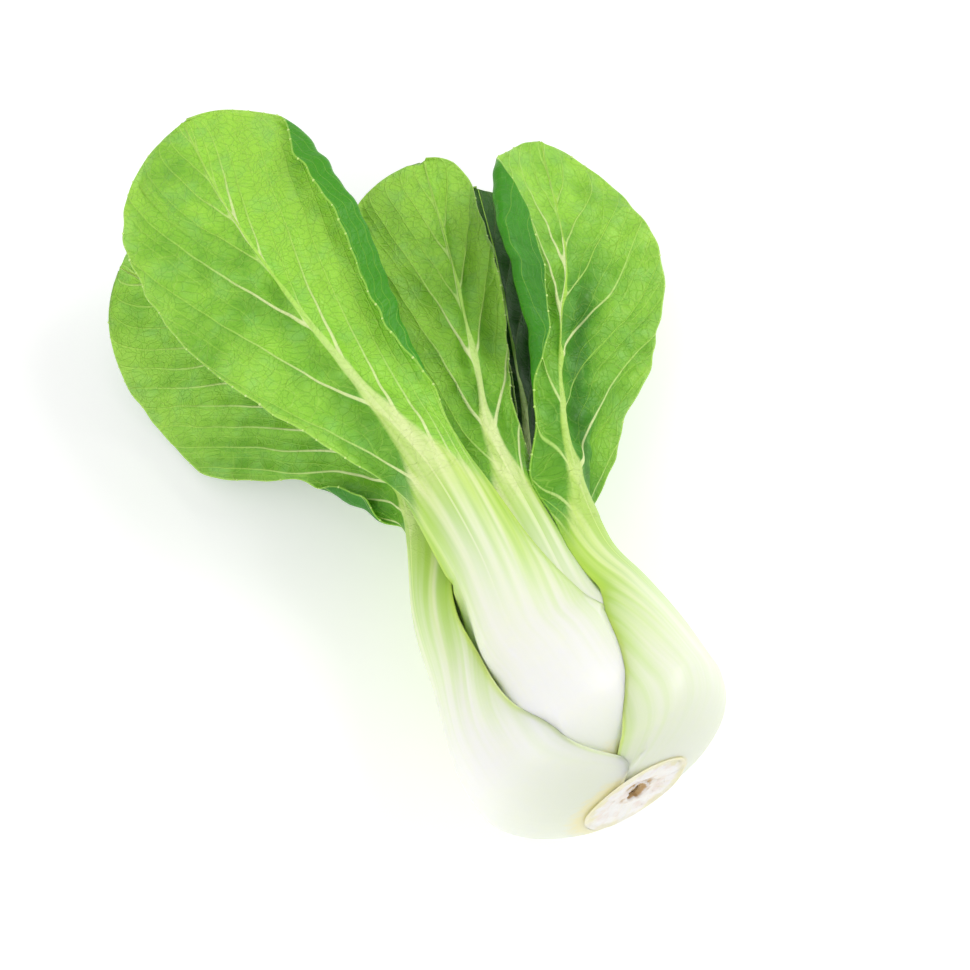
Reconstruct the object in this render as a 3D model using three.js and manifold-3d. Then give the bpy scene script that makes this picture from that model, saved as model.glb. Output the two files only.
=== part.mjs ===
// A head of Shanghai bok choy, lying on its side: eleven leaves, each a thick pale stalk that
// spreads into a thin green blade, wrapped round one another on a short stem.
import * as THREE from "three";
import { mergeVertices } from "three/addons/utils/BufferGeometryUtils.js";
import Module from "manifold-3d";

const { clamp, degToRad, lerp, radToDeg, smoothstep } = THREE.MathUtils;
const wasm = await Module();
wasm.setup();

// Driving dimensions, in millimetres and degrees. +Y runs from the cut base to the leaf tips, and
// y = 0 is the widest place of the bulb, where the head rests on its underside at z = 0.
const AXIS_HEIGHT = 33;
const CUT_TO_WIDEST = 18;
const LEAN = 0.1; // sideways lean of the head past the bulb, for each millimetre along it
const LEAN_STARTS = 25; // from the cut
const LEAN_EASES_OVER = 3;
const GAP = 0.45; // room left between a stalk and the one wrapped round it
const PARTING = 0.35; // room left where two pieces would touch
const MARGIN_THICKNESS = 0.6;
const RIM = 3; // a wrapping stalk's edge is cleared this far to each side
const RIM_SLOPE = 9; // and past that the inner stalk rises by this much
const RIM_SLOPE_ANGLE = 18; // over this angle
const STALKS_PART_AT = 67; // from the cut, where the stalks no longer wrap one another
const PARTING_SLOPE = 1.2;
const STALK_STATIONS = [0, 0.06, 0.12, 0.18, 0.25, 0.33]; // shares of a leaf's length
const LEVEL_STEP = 3;
const LEVELS = 41;
const FAR = 99;

// The stem: radius against distance from the cut.
const STEM_REACH = [0, 2, 4, 8, 12, 17, 18.5];
const STEM_RADII = [12.6, 12.6, 12, 9.5, 6.5, 3, 0];
const STEM_CLEARANCE = 0.4;
const PIT_RADIUS = 2.6; // the dried pith at the middle of the cut
const PIT_DEPTH = 5;
const STEM_SIDES = 32;

// The leaves, from the outermost in. angle is the way the leaf's back faces, from +Z towards +X.
// bulb is its radius at the bulb, its start from the cut and its radius there. way is the line of
// its back from the bulb to the tip. neck is the share of its length where the blade starts. bows
// are the radii of its section at the root, bulb, shoulder and neck. halves are the stalk's half
// widths at STALK_STATIONS, then neckHalf and bladeHalf. turn rolls the blade's back towards its
// right side, and curls are an angle and a share of the half width. fullness (the less the
// earlier), widest, taper and sides shape the blade's left and right. wave is height, count, phase.
const LEAVES = [
  {
    angle: -78, bulb: [33.6, 0.5, 14],
    way: [[-26, 32, 38.5], [-20, 52, 38], [-7, 79, 36], [-7, 100, 33], [-13, 127, 31],
      [-21, 160, 28], [-35, 189, 25]],
    neck: 0.458, bows: [14.5, 30, 24, 13], halves: [15, 29, 31, 25, 19.5, 13.5], neckHalf: 9.5,
    bladeHalf: 33, cup: 0.004, thick: 7, rib: 4.2, turn: 45, curlLeft: [30, 0.3],
    fullness: [3, 0.85], widest: [0.52, 0.62], sides: [1.04, 1], wave: [1.5, 2.5, 0],
  },
  {
    angle: 62.5, bulb: [36, 0.5, 14],
    way: [[26.5, 27, 47], [27.5, 41, 46.5], [30.5, 62, 46], [38, 82, 49], [48.5, 97, 52],
      [61, 112, 54], [75, 143, 50]],
    neck: 0.415, bows: [14, 27, 20, 12], halves: [15, 28, 30, 22, 15, 10.5], neckHalf: 9,
    bladeHalf: 31, cup: -0.01, thick: 7, rib: 4, turn: -34, neckTurn: -24,
    curlLeft: [160, 0.3], fullness: [4.2, 0.3], widest: [0.8, 0.5], taper: [1.6, 1.5],
    sides: [0.84, 1], wave: [1.2, 2.5, 1],
  },
  {
    angle: -178, bulb: [34.8, 1.5, 14.5],
    way: [[-2, 27, 2.5], [2, 52, 6], [7, 80, 5], [9, 108, 1.8], [12, 140, -0.3],
      [13, 168, 1]],
    neck: 0.466, bows: [14, 24, 20, 14], halves: [14, 31, 31, 25, 18, 14], neckHalf: 10.5,
    bladeHalf: 28, cup: 0.003, thick: 7, rib: 4.2, turn: 0, fullness: [0.85, 3.2],
    sides: [1, 0.85], wave: [1, 2.5, 2],
  },
  {
    angle: -14, bulb: [31.6, 4, 14],
    way: [[-7.5, 27, 61], [-3, 50, 58.8], [-1, 75, 57], [-3, 93, 58], [-6, 114, 60],
      [-8, 139, 61], [-8, 167, 60], [-4, 198, 55]],
    neck: 0.4375, bows: [12.5, 20.5, 17, 12.5], halves: [14, 27, 28, 24, 18, 14], neckHalf: 11,
    bladeHalf: 31, cup: 0.004, thick: 7, rib: 4.2, turn: 4, curlRight: [150, 0.28],
    fullness: [0.85, 1.15], sides: [0.96, 0.98], wave: [1.2, 2.5, 2],
  },
  {
    angle: 115, bulb: [33.2, 4, 14],
    way: [[24, 27, 21.5], [29, 49, 20], [35, 76, 13.5], [49, 96, 8], [67, 116, 4],
      [82, 135, 1.8], [90, 152, 2.5]],
    neck: 0.436, bows: [12.5, 20.5, 17, 12], halves: [14, 27, 28, 22, 16, 13], neckHalf: 10,
    bladeHalf: 24, cup: 0.003, thick: 7, rib: 4, turn: 58, wave: [1.2, 2.5, 1],
  },
  {
    angle: -107.5, bulb: [24, 8.5, 13.5],
    way: [[-20.5, 31, 25.5], [-13, 54, 21], [-2, 88, 14], [0, 123, 8], [-10, 152, 4],
      [-23, 176, 3]],
    neck: 0.4465, bows: [11, 15, 14, 11], halves: [11, 20, 19, 15, 11, 9], neckHalf: 9,
    bladeHalf: 23, cup: 0.004, thick: 5.5, rib: 3.8, turn: -72, fullness: [0.85, 3.2],
    sides: [1, 0.75], wave: [1.2, 2.5, 4],
  },
  {
    angle: 30, bulb: [24, 8.5, 13.5],
    way: [[9, 31, 50.5], [14.5, 51, 47], [20, 79, 46], [27, 96, 47], [32, 111, 47],
      [41, 130, 46], [54, 159, 43]],
    neck: 0.434, bows: [11, 15, 14, 11], halves: [11, 20, 19, 16, 12, 9], neckHalf: 8,
    bladeHalf: 25, cup: 0.006, thick: 5.5, rib: 3.8, turn: -34, curlRight: [-60, 0.6],
    sides: [1, 0.25], wave: [1, 2.5, 3],
  },
  {
    angle: 167.5, bulb: [23, 8.5, 13.5],
    way: [[3.5, 31, 14], [5, 52, 16.5], [23, 90, 14], [32, 116, 11], [41, 142, 9],
      [50, 165, 8]],
    neck: 0.446, bows: [11, 15, 14, 11], halves: [11, 20, 19, 16, 12, 9], neckHalf: 8,
    bladeHalf: 22, cup: 0.004, thick: 5.5, rib: 3.8, turn: 0, fullness: [0.85, 2],
    sides: [1, 0.8], wave: [1, 2.5, 0],
  },
  {
    angle: -55, bulb: [17, 12, 9.8],
    way: [[-13, 32, 42], [-7, 52, 40.5], [16, 88, 38], [20, 116, 35], [26, 142, 33],
      [31, 163, 32]],
    neck: 0.435, bows: [9, 12, 11, 10], halves: [9, 16, 15, 12, 10, 8], neckHalf: 7,
    bladeHalf: 22, cup: 0.006, thick: 4.5, rib: 3.2, turn: 50, wave: [1, 2.5, 4],
  },
  {
    angle: 82.5, bulb: [16, 12, 9.8],
    way: [[13, 32, 34.5], [14.5, 52, 34], [32, 82, 31], [44, 109, 27], [54, 133, 25],
      [62, 156, 24]],
    neck: 0.434, bows: [9, 12, 11, 10], halves: [9, 15, 14, 12, 10, 8], neckHalf: 7,
    bladeHalf: 19, cup: 0.006, thick: 4.5, rib: 3.2, turn: -62, wave: [1, 2.5, 5],
  },
  {
    angle: -140, bulb: [11, 15.5, 6.5],
    way: [[-7, 35, 26], [-2, 52, 26], [15, 92, 23.5], [20, 120, 20], [25, 144, 18.5]],
    neck: 0.432, bows: [7, 9, 9, 8], halves: [6, 11, 11, 9, 7, 6], neckHalf: 5.5,
    bladeHalf: 14, cup: 0.008, thick: 3.5, rib: 2.6, turn: -50, wave: [0.8, 2.5, 5],
  },
];

// What a leaf has where its own entry says nothing else, on its left and its right.
const USUAL_SHAPE = {
  fullness: [0.85, 0.85], widest: [0.62, 0.62], taper: [2.3, 2.3], sides: [1, 1],
};

// The mesh of a leaf: rows are shares of its length, columns shares of its half width.
const STALK_ROWS = [0, 0.03, 0.06, 0.095, 0.13, 0.18, 0.24, 0.31, 0.37];
const BLADE_ROWS = [-0.07, 0, 0.09, 0.18, 0.3, 0.45, 0.6, 0.76, 0.84, 0.9, 0.95, 0.98, 1];
const RIB_ROWS = 8; // the pale rib runs through this many of the blade's rows
const LOBE = [0, 0.12, 0.25, 0.42, 0.68, 1];
const COLUMNS = [-1, -0.92, -0.72, -0.44, -0.15, 0.15, 0.44, 0.72, 0.92, 1];
const MOST_PALE = 0.95; // of the half width
const TIP = 0.9995;

const stalkLook = new THREE.MeshStandardMaterial({ color: 0xeef3d6, roughness: 0.35 });
const bladeLook = new THREE.MeshStandardMaterial({ color: 0x6fb23f, roughness: 0.42 });
const stemLook = new THREE.MeshStandardMaterial({ color: 0xe9e0d2, roughness: 0.6 });

// A smooth curve through points (xs, ys) that doesn't overshoot them.
function through(xs, ys) {
  const last = xs.length - 1;
  const step = (i) => xs[i + 1] - xs[i];
  const rise = (i) => (ys[i + 1] - ys[i]) / step(i);
  const slopes = ys.map((_, i) => {
    if (i === 0) return rise(0);
    if (i === last) return rise(last - 1);
    const before = rise(i - 1);
    const after = rise(i);
    if (before * after <= 0) return 0;
    const a = 2 * step(i) + step(i - 1);
    const b = step(i) + 2 * step(i - 1);
    return (a + b) / (a / before + b / after);
  });
  return (x) => {
    const at = clamp(x, xs[0], xs[last]);
    let i = 0;
    while (i < last - 1 && at >= xs[i + 1]) i += 1;
    const h = step(i);
    const t = (at - xs[i]) / h;
    const s = 1 - t;
    return (1 + 2 * t) * s * s * ys[i] + t * s * s * h * slopes[i]
      + t * t * (3 - 2 * t) * ys[i + 1] - t * t * s * h * slopes[i + 1];
  };
}

// Straight lines through points (xs, ys), level past the ends.
function along(xs, ys, x) {
  const last = xs.length - 1;
  if (x <= xs[0]) return ys[0];
  if (x >= xs[last]) return ys[last];
  let i = 0;
  while (x > xs[i + 1]) i += 1;
  return lerp(ys[i], ys[i + 1], (x - xs[i]) / (xs[i + 1] - xs[i]));
}

function leanAt(reach) {
  const lean = LEAN * Math.max(0, reach - LEAN_STARTS);
  return lean > 0 ? (lean * lean) / (lean + LEAN_EASES_OVER) : 0;
}

// A point as its angle and distance from the head's axis and its reach from the cut.
function polarOf(p) {
  const reach = p.y + CUT_TO_WIDEST;
  const dx = p.x - leanAt(reach);
  const dz = p.z - AXIS_HEIGHT;
  return { angle: radToDeg(Math.atan2(dx, dz)), radius: Math.hypot(dx, dz), reach };
}

function fromPolar(angle, radius, reach) {
  const a = degToRad(angle);
  return new THREE.Vector3(leanAt(reach) + radius * Math.sin(a), reach - CUT_TO_WIDEST,
    AXIS_HEIGHT + radius * Math.cos(a));
}

// The line of a leaf's back in the bulb: out over the shoulder, along the widest place and in.
function bulbLine(angle, [radius, start, root]) {
  const flare = [[0, 0], [2.2, 0.34], [7, 0.7], [13, 0.94], [19, 1]];
  const points = flare.map(([y, share]) => fromPolar(angle, lerp(root, radius, share), start + y));
  points.push(fromPolar(angle, radius - 0.8, start + 31));
  return points;
}

class Leaf {
  constructor(spec) {
    const { neck, bows, thick, rib, neckHalf, cup, turn } = spec;
    const way = spec.way.map(([x, y, z]) => new THREE.Vector3(x, y, z));
    this.spec = spec;
    this.path = new THREE.CatmullRomCurve3([...bulbLine(spec.angle, spec.bulb), ...way], false,
      "catmullrom", 0.5);
    this.path.arcLengthDivisions = 800;
    const a = degToRad(spec.angle);
    this.outward = new THREE.Vector3(Math.sin(a), 0, Math.cos(a));
    this.rightward = new THREE.Vector3(Math.cos(a), 0, -Math.sin(a));
    this.stalkHalf = through([...STALK_STATIONS, neck], [...spec.halves, neckHalf]);
    this.bowing = through([0, 0.1, 0.22, neck, neck + 0.12, 0.8, 1],
      [1 / bows[0], 1 / bows[1], 1 / bows[2], 1 / bows[3], 0.6 * cup, cup, cup]);
    this.thickness = through([0, 0.1, 0.25, neck, neck + 0.12, neck + 0.3, 1],
      [0.45, 0.95, 0.95, 0.62, 0.2, 0.1, 0.1].map((share) => share * thick));
    this.ribHeight = through([0, neck - 0.14, neck, neck + 0.12, 0.8, 1],
      [0, 0, 0.75 * rib, 0.8 * rib, 0.25 * rib, 0.15]);
    this.ribSpread = through([0, neck - 0.14, neck, neck + 0.15, 0.8, 1],
      [1.3 * neckHalf, 1.1 * neckHalf, 0.9 * neckHalf, 0.5 * neckHalf, 1.6, 0.8]);
    this.rolling = through([0, neck - 0.28, neck, neck + 0.15, 1],
      [0, 0, spec.neckTurn ?? 0.45 * turn, 0.85 * turn, turn]);
    this.paleHalf = through([0, 0.09, 0.25, 0.5, 0.76].map((x) => neck + x * (1 - neck)),
      [0.92, 0.8, 0.45, 0.2, 0].map((share) => 0.7 + share * (neckHalf - 0.7)));
    this.rows = new Map();
  }

  // Half width at share t of the length, on the left (side -1) or the right (side 1).
  half(t, side) {
    const { neck, neckHalf, bladeHalf, ...shape } = { ...USUAL_SHAPE, ...this.spec };
    if (t < neck) return this.stalkHalf(t);
    const past = (t - neck) / (1 - neck);
    const index = side < 0 ? 0 : 1;
    const widest = shape.widest[index];
    const share = lerp(1, shape.sides[index], smoothstep(past, 0, 0.3));
    const rise = smoothstep(past, 0, widest) ** shape.fullness[index];
    if (past < widest) return share * lerp(neckHalf, bladeHalf, rise);
    const fall = 1 - ((past - widest) / (1 - widest)) ** shape.taper[index];
    return share * bladeHalf * Math.sqrt(Math.max(0, fall));
  }

  // The frame at share t: a point of the path, the way out of the leaf's back and its right.
  row(t) {
    if (this.rows.has(t)) return this.rows.get(t);
    const step = 0.004;
    const ahead = this.path.getPointAt(clamp(t + step, 0, 1));
    const forward = ahead.sub(this.path.getPointAt(clamp(t - step, 0, 1))).normalize();
    const square = this.outward.clone().addScaledVector(forward, -this.outward.dot(forward));
    const blend = smoothstep(t, 0.12, this.spec.neck);
    const out = this.outward.clone().lerp(square.normalize(), blend).normalize();
    const right = forward.clone().cross(out);
    right.addScaledVector(out, -right.dot(out)).normalize();
    if (right.dot(this.rightward) < 0) right.negate();
    const roll = degToRad(this.rolling(t));
    const made = {
      centre: this.path.getPointAt(clamp(t, 0, 1)),
      out: out.clone().multiplyScalar(Math.cos(roll)).addScaledVector(right, Math.sin(roll)),
      right: right.clone().multiplyScalar(Math.cos(roll)).addScaledVector(out, -Math.sin(roll)),
      bow: this.bowing(t),
      halves: [this.half(t, -1), this.half(t, 1)],
      rib: this.ribHeight(t),
      curling: smoothstep(t, this.spec.neck + 0.02, this.spec.neck + 0.16),
      waving: smoothstep(t, this.spec.neck + 0.03, this.spec.neck + 0.2),
    };
    this.rows.set(t, made);
    return made;
  }

  // How far the section's heading has turned at share v of the half width.
  heading(row, v) {
    const half = row.halves[v < 0 ? 0 : 1];
    const [angle, share] = (v < 0 ? this.spec.curlLeft : this.spec.curlRight) ?? [0, 0.3];
    const curl = clamp((Math.abs(v) - (1 - share)) / share, 0, 1) ** 1.5;
    return row.bow * v * half - Math.sign(v) * row.curling * degToRad(angle) * curl;
  }

  // The back of the leaf without its rib.
  lamina(t, v) {
    const row = this.row(t);
    const half = row.halves[v < 0 ? 0 : 1];
    const steps = 32;
    let across = 0;
    let inward = 0;
    for (let i = 0; i < steps; i += 1) {
      const heading = this.heading(row, (v * (i + 0.5)) / steps);
      across += (Math.cos(heading) * v * half) / steps;
      inward += (Math.sin(heading) * v * half) / steps;
    }
    const [height, count, phase] = this.spec.wave;
    const past = (t - this.spec.neck) / (1 - this.spec.neck);
    const swing = Math.sin(2 * Math.PI * count * past + phase + (v > 0 ? 1.7 : 0));
    const wave = row.waving * height * Math.abs(v) ** 2.5 * swing;
    return row.centre.clone().addScaledVector(row.right, across)
      .addScaledVector(row.out, wave - inward - row.rib);
  }

  // The points of the back and of the inner face at (t, v).
  faces(t, v) {
    const low = this.lamina(clamp(t - 0.003, 0, 1), v);
    const high = this.lamina(clamp(t + 0.003, 0, TIP), v);
    const left = this.lamina(t, clamp(v - 0.01, -1, 1));
    const right = this.lamina(t, clamp(v + 0.01, -1, 1));
    const normal = right.sub(left).cross(high.sub(low)).normalize();
    const middle = this.lamina(t, 0.01).sub(this.lamina(t, -0.01)).cross(
      this.lamina(clamp(t + 0.003, 0, TIP), 0).sub(this.lamina(clamp(t - 0.003, 0, 1), 0)));
    if (middle.dot(this.row(t).out) < 0) normal.negate();
    const x = v * this.row(t).halves[v < 0 ? 0 : 1];
    const bump = this.ribHeight(t) * Math.exp(-1.6 * (x / this.ribSpread(t)) ** 2);
    const full = Math.max(this.thickness(t), MARGIN_THICKNESS);
    const depth = lerp(MARGIN_THICKNESS, full, Math.max(0, 1 - v * v) ** 0.8);
    const base = this.lamina(t, v);
    return {
      back: base.clone().addScaledVector(normal, bump),
      inner: base.addScaledVector(normal, -depth),
    };
  }
}

const stemRadius = through(STEM_REACH, STEM_RADII);

// A leaf's two faces over rows and columns, tucked under the stalks that wrap it and resting on
// the surface below.
function gridOf(leaf, shares, columnsAt, ceilings) {
  const grid = { shares, back: [], inner: [] };
  for (const t of shares) {
    const points = columnsAt(t).map((v) => leaf.faces(t, v));
    points.forEach((point) => tuck(leaf, t, point, ceilings));
    points.forEach(({ back, inner }) => {
      back.z = Math.max(back.z, 0);
      inner.z = Math.max(inner.z, MARGIN_THICKNESS);
    });
    grid.back.push(points.map((point) => point.back));
    grid.inner.push(points.map((point) => point.inner));
  }
  return grid;
}

function tuck(leaf, t, point, ceilings) {
  const { neck } = leaf.spec;
  const hold = 1 - smoothstep(t, neck - 0.02, neck + 0.08);
  if (hold === 0) return;
  const back = polarOf(point.back);
  const inner = polarOf(point.inner);
  const depth = point.back.distanceTo(point.inner);
  const limit = Math.min(FAR, ...ceilings.map((ceiling) => ceiling(back.angle, back.reach)));
  let outside = lerp(back.radius, Math.min(back.radius, limit - GAP), hold);
  let inside = inner.radius;
  if (outside < back.radius - 1e-6)
    inside = Math.min(inside, Math.max(outside - depth, outside / 2));
  if (back.reach < STEM_REACH.at(-1)) {
    inside = Math.max(inside, stemRadius(back.reach) + STEM_CLEARANCE);
    outside = Math.max(outside, inside + MARGIN_THICKNESS);
  }
  point.back.copy(fromPolar(back.angle, outside, back.reach));
  point.inner.copy(fromPolar(inner.angle, inside, inner.reach));
}

// How far out the inner face of a wrapping stalk lies, by angle and reach.
function ceilingOf(leaf, grid) {
  const count = grid.shares.filter((t) => t < leaf.spec.neck + 0.02).length;
  const turned = (angle) => ((((angle - leaf.spec.angle + 180) % 360) + 360) % 360) - 180;
  const columns = grid.inner[0].map((_, j) => {
    const stalk = grid.inner.slice(0, count).map((row) => polarOf(row[j]));
    return {
      reach: stalk.map((p) => p.reach),
      angle: stalk.map((p) => turned(p.angle)),
      radius: stalk.map((p) => p.radius),
    };
  });
  const first = Math.min(...columns.map((c) => c.reach[0])) - LEVEL_STEP;
  const last = Math.max(...columns.map((c) => c.reach.at(-1)));
  const levels = Array.from({ length: LEVELS }, (_, level) => {
    const reach = level * LEVEL_STEP;
    if (reach < first || reach > last) return () => FAR;
    const ring = columns.map((c) => [along(c.reach, c.angle, reach), along(c.reach, c.radius, reach)]);
    ring.sort((a, b) => a[0] - b[0]);
    const [low, lowRadius] = ring[0];
    const [high, highRadius] = ring.at(-1);
    const lowRim = low - radToDeg(RIM / lowRadius);
    const highRim = high + radToDeg(RIM / highRadius);
    const angles = [lowRim - RIM_SLOPE_ANGLE, lowRim, ...ring.map((p) => p[0]), highRim,
      highRim + RIM_SLOPE_ANGLE];
    const radii = [lowRadius + RIM_SLOPE, lowRadius, ...ring.map((p) => p[1]), highRadius,
      highRadius + RIM_SLOPE];
    return (angle) => angle < angles[0] || angle > angles.at(-1) ? FAR : along(angles, radii, angle);
  });
  return (angle, reach) => {
    const at = clamp(reach / LEVEL_STEP, 0, LEVELS - 1.001);
    const level = Math.floor(at);
    const radius = lerp(levels[level](turned(angle)), levels[level + 1](turned(angle)), at - level);
    return radius + PARTING_SLOPE * Math.max(0, reach - STALKS_PART_AT);
  };
}

// A closed slab between a grid's faces, over the cells that kept(i, j) keeps. Both faces are split
// into triangles alike, and so are the walls that face each other across a parting.
function slab(grid, kept) {
  const height = grid.back.length;
  const width = grid.back[0].length;
  const points = [...grid.back.flat(), ...grid.inner.flat()];
  const under = height * width;
  const index = [];
  const has = (i, j) => i >= 0 && j >= 0 && i < height - 1 && j < width - 1 && kept(i, j);
  const wall = (a, b) => index.push(a, b, b + under, a, b + under, a + under);
  for (let i = 0; i < height - 1; i += 1) {
    for (let j = 0; j < width - 1; j += 1) {
      if (!has(i, j)) continue;
      const a = i * width + j;
      const b = a + 1;
      const c = a + width + 1;
      const d = a + width;
      index.push(a, c, b, a, d, c);
      index.push(a + under, b + under, c + under, a + under, c + under, d + under);
      if (!has(i - 1, j)) wall(a, b);
      if (!has(i, j + 1)) wall(b, c);
      if (!has(i + 1, j)) wall(c, d);
      if (!has(i, j - 1)) index.push(d, a, d + under, a, a + under, d + under);
    }
  }
  const geometry = new THREE.BufferGeometry().setFromPoints(points);
  geometry.setIndex(index);
  return solidOf(geometry);
}

// A closed mesh as a solid, turned the right way out.
function solidOf(geometry) {
  const merged = mergeVertices(geometry, 1e-4);
  const triVerts = new Uint32Array(merged.index.array);
  const vertProperties = merged.attributes.position.array;
  const make = () => new wasm.Manifold(new wasm.Mesh({ numProp: 3, vertProperties, triVerts }));
  const made = make();
  if (made.volume() > 0) return made;
  for (let i = 0; i < triVerts.length; i += 3)
    [triVerts[i + 1], triVerts[i + 2]] = [triVerts[i + 2], triVerts[i + 1]];
  return make();
}

function geometryOf(solid) {
  const { numProp, vertProperties, triVerts } = solid.getMesh();
  const position = new Float32Array((vertProperties.length / numProp) * 3);
  for (let i = 0; i < position.length / 3; i += 1)
    position.set(vertProperties.subarray(i * numProp, i * numProp + 3), i * 3);
  const geometry = new THREE.BufferGeometry();
  geometry.setAttribute("position", new THREE.BufferAttribute(position, 3));
  geometry.setIndex(new THREE.BufferAttribute(triVerts, 1));
  geometry.computeVertexNormals();
  return geometry;
}

function named(name, solid, look) {
  const mesh = new THREE.Mesh(geometryOf(solid), look);
  mesh.name = name;
  return mesh;
}

// The same grid with every face moved out by a distance, which leaves room round what it cuts.
function grown(grid, by) {
  const moved = { shares: grid.shares, back: [], inner: [] };
  const last = grid.back.length - 1;
  grid.back.forEach((row, i) => {
    const end = row.length - 1;
    const backs = [];
    const inners = [];
    row.forEach((back, j) => {
      const inner = grid.inner[i][j];
      const away = back.clone().sub(inner).normalize().multiplyScalar(by);
      const aside = new THREE.Vector3();
      if (j === 0) aside.subVectors(back, row[1]);
      if (j === end) aside.subVectors(back, row[end - 1]);
      const onward = new THREE.Vector3();
      if (i === 0) onward.subVectors(back, grid.back[1][j]);
      if (i === last) onward.subVectors(back, grid.back[last - 1][j]);
      const spread = aside.setLength(j % end ? 0 : by).add(onward.setLength(i % last ? 0 : by));
      backs.push(back.clone().add(spread).add(away));
      inners.push(inner.clone().add(spread).sub(away));
    });
    moved.back.push(backs);
    moved.inner.push(inners);
  });
  return moved;
}

// The largest body of a solid, after the leaves outside it have cut away what crosses them.
function clearOf(solid, cutters) {
  let made = solid;
  for (const cutter of cutters)
    if (made.intersect(cutter).volume() > 0) made = made.subtract(cutter);
  return made.decompose().sort((a, b) => b.volume() - a.volume())[0];
}

// The pale part of a leaf: its whole stalk, and the rib that runs up into the blade.
function stalkOf(leaf, ceilings) {
  const { neck } = leaf.spec;
  const ribRows = BLADE_ROWS.slice(0, RIB_ROWS).map((x) => neck + x * (1 - neck));
  const shares = [...STALK_ROWS.filter((t) => t < ribRows[0] - 0.02), ...ribRows];
  const columnsAt = (t) => COLUMNS.map((v) => {
    if (t < ribRows[0]) return v;
    return (v * leaf.paleHalf(t)) / leaf.half(t, v);
  });
  return { grid: gridOf(leaf, shares, columnsAt, ceilings), kept: () => true };
}

// The green part of a leaf: a lobe on each side of the rib, joined past its end.
function bladeOf(leaf, ceilings) {
  const { neck } = leaf.spec;
  const shares = BLADE_ROWS.map((x) => Math.min(neck + x * (1 - neck), TIP));
  const columnsAt = (t) => {
    const slot = leaf.paleHalf(t) + PARTING;
    const edge = (side) => Math.min(slot / leaf.half(t, side), MOST_PALE);
    const left = LOBE.map((x) => -lerp(1, edge(-1), x));
    const right = LOBE.map((x) => lerp(1, edge(1), x)).reverse();
    return [...left, ...right];
  };
  const kept = (i, j) => j !== LOBE.length - 1 || i >= RIB_ROWS - 1;
  return { grid: gridOf(leaf, shares, columnsAt, ceilings), kept };
}

function stemBase() {
  const outline = [
    [0, PIT_DEPTH], [PIT_RADIUS * 0.7, PIT_DEPTH * 0.9], [PIT_RADIUS, 1], [PIT_RADIUS + 0.5, 0],
    ...STEM_REACH.map((reach, i) => [STEM_RADII[i], reach]),
  ];
  const profile = outline.map(([radius, reach]) => new THREE.Vector2(radius, reach));
  const geometry = new THREE.LatheGeometry(profile, STEM_SIDES);
  geometry.deleteAttribute("normal");
  geometry.deleteAttribute("uv");
  geometry.translate(0, -CUT_TO_WIDEST, AXIS_HEIGHT);
  return named("stem_base", solidOf(geometry), stemLook);
}

function allLeaves() {
  const ceilings = [];
  const cutters = [];
  return LEAVES.map((spec, number) => {
    const leaf = new Leaf(spec);
    const tips = BLADE_ROWS.map((x) => Math.min(spec.neck + x * (1 - spec.neck), TIP));
    const shares = [...STALK_ROWS.filter((t) => t < tips[0] - 0.02), ...tips];
    const whole = gridOf(leaf, shares, () => COLUMNS, ceilings);
    const stalk = stalkOf(leaf, ceilings);
    const blade = bladeOf(leaf, ceilings);
    const stalkCutter = slab(grown(stalk.grid, PARTING), stalk.kept);
    const bladeCutter = slab(grown(blade.grid, PARTING), blade.kept);
    const name = `leaf_${String(number + 1).padStart(2, "0")}`;
    const group = new THREE.Group();
    group.add(
      named(`${name}_stalk`, clearOf(slab(stalk.grid, stalk.kept), cutters), stalkLook),
      named(`${name}_blade`, clearOf(slab(blade.grid, blade.kept), cutters), bladeLook),
    );
    ceilings.push(ceilingOf(leaf, whole));
    cutters.push(stalkCutter, bladeCutter);
    return group;
  });
}

const head = new THREE.Group();
head.add(stemBase(), ...allLeaves());

export default head;
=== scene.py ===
"""The looks of one head of Shanghai bok choy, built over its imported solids."""
import math

import bpy
import numpy as np
from bpy.props import FloatProperty, FloatVectorProperty, IntProperty, PointerProperty
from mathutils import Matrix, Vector


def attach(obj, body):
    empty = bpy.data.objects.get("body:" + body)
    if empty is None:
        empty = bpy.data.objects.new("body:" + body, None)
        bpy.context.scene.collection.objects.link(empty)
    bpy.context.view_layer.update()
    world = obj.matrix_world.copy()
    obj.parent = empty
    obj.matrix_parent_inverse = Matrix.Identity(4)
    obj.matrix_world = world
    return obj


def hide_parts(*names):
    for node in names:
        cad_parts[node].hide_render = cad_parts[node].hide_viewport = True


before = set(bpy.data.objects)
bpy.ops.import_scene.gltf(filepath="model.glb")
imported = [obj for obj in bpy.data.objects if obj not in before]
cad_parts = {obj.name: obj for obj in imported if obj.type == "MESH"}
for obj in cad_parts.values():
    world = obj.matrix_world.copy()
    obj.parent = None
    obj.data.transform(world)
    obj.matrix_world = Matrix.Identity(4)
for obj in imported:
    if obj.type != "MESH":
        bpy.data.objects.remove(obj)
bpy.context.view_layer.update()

bl_info = {
    "name": "Bok choy head",
    "version": (1, 0, 0),
    "blender": (4, 5, 0),
    "location": "View3D > Sidebar > Bok choy",
    "description": "Builds the leaves, margin beads and cut base of a bok choy head",
    "category": "Object",
}

MM = 0.001

# All lengths below are in millimetres. The head's axis runs along +Y, from the cut to the tips.
AXIS_HEIGHT = 33.0
CUT_TO_WIDEST = 18.0
LEAN = 0.1
LEAN_STARTS = 25.0
LEAN_EASES_OVER = 3.0

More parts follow.
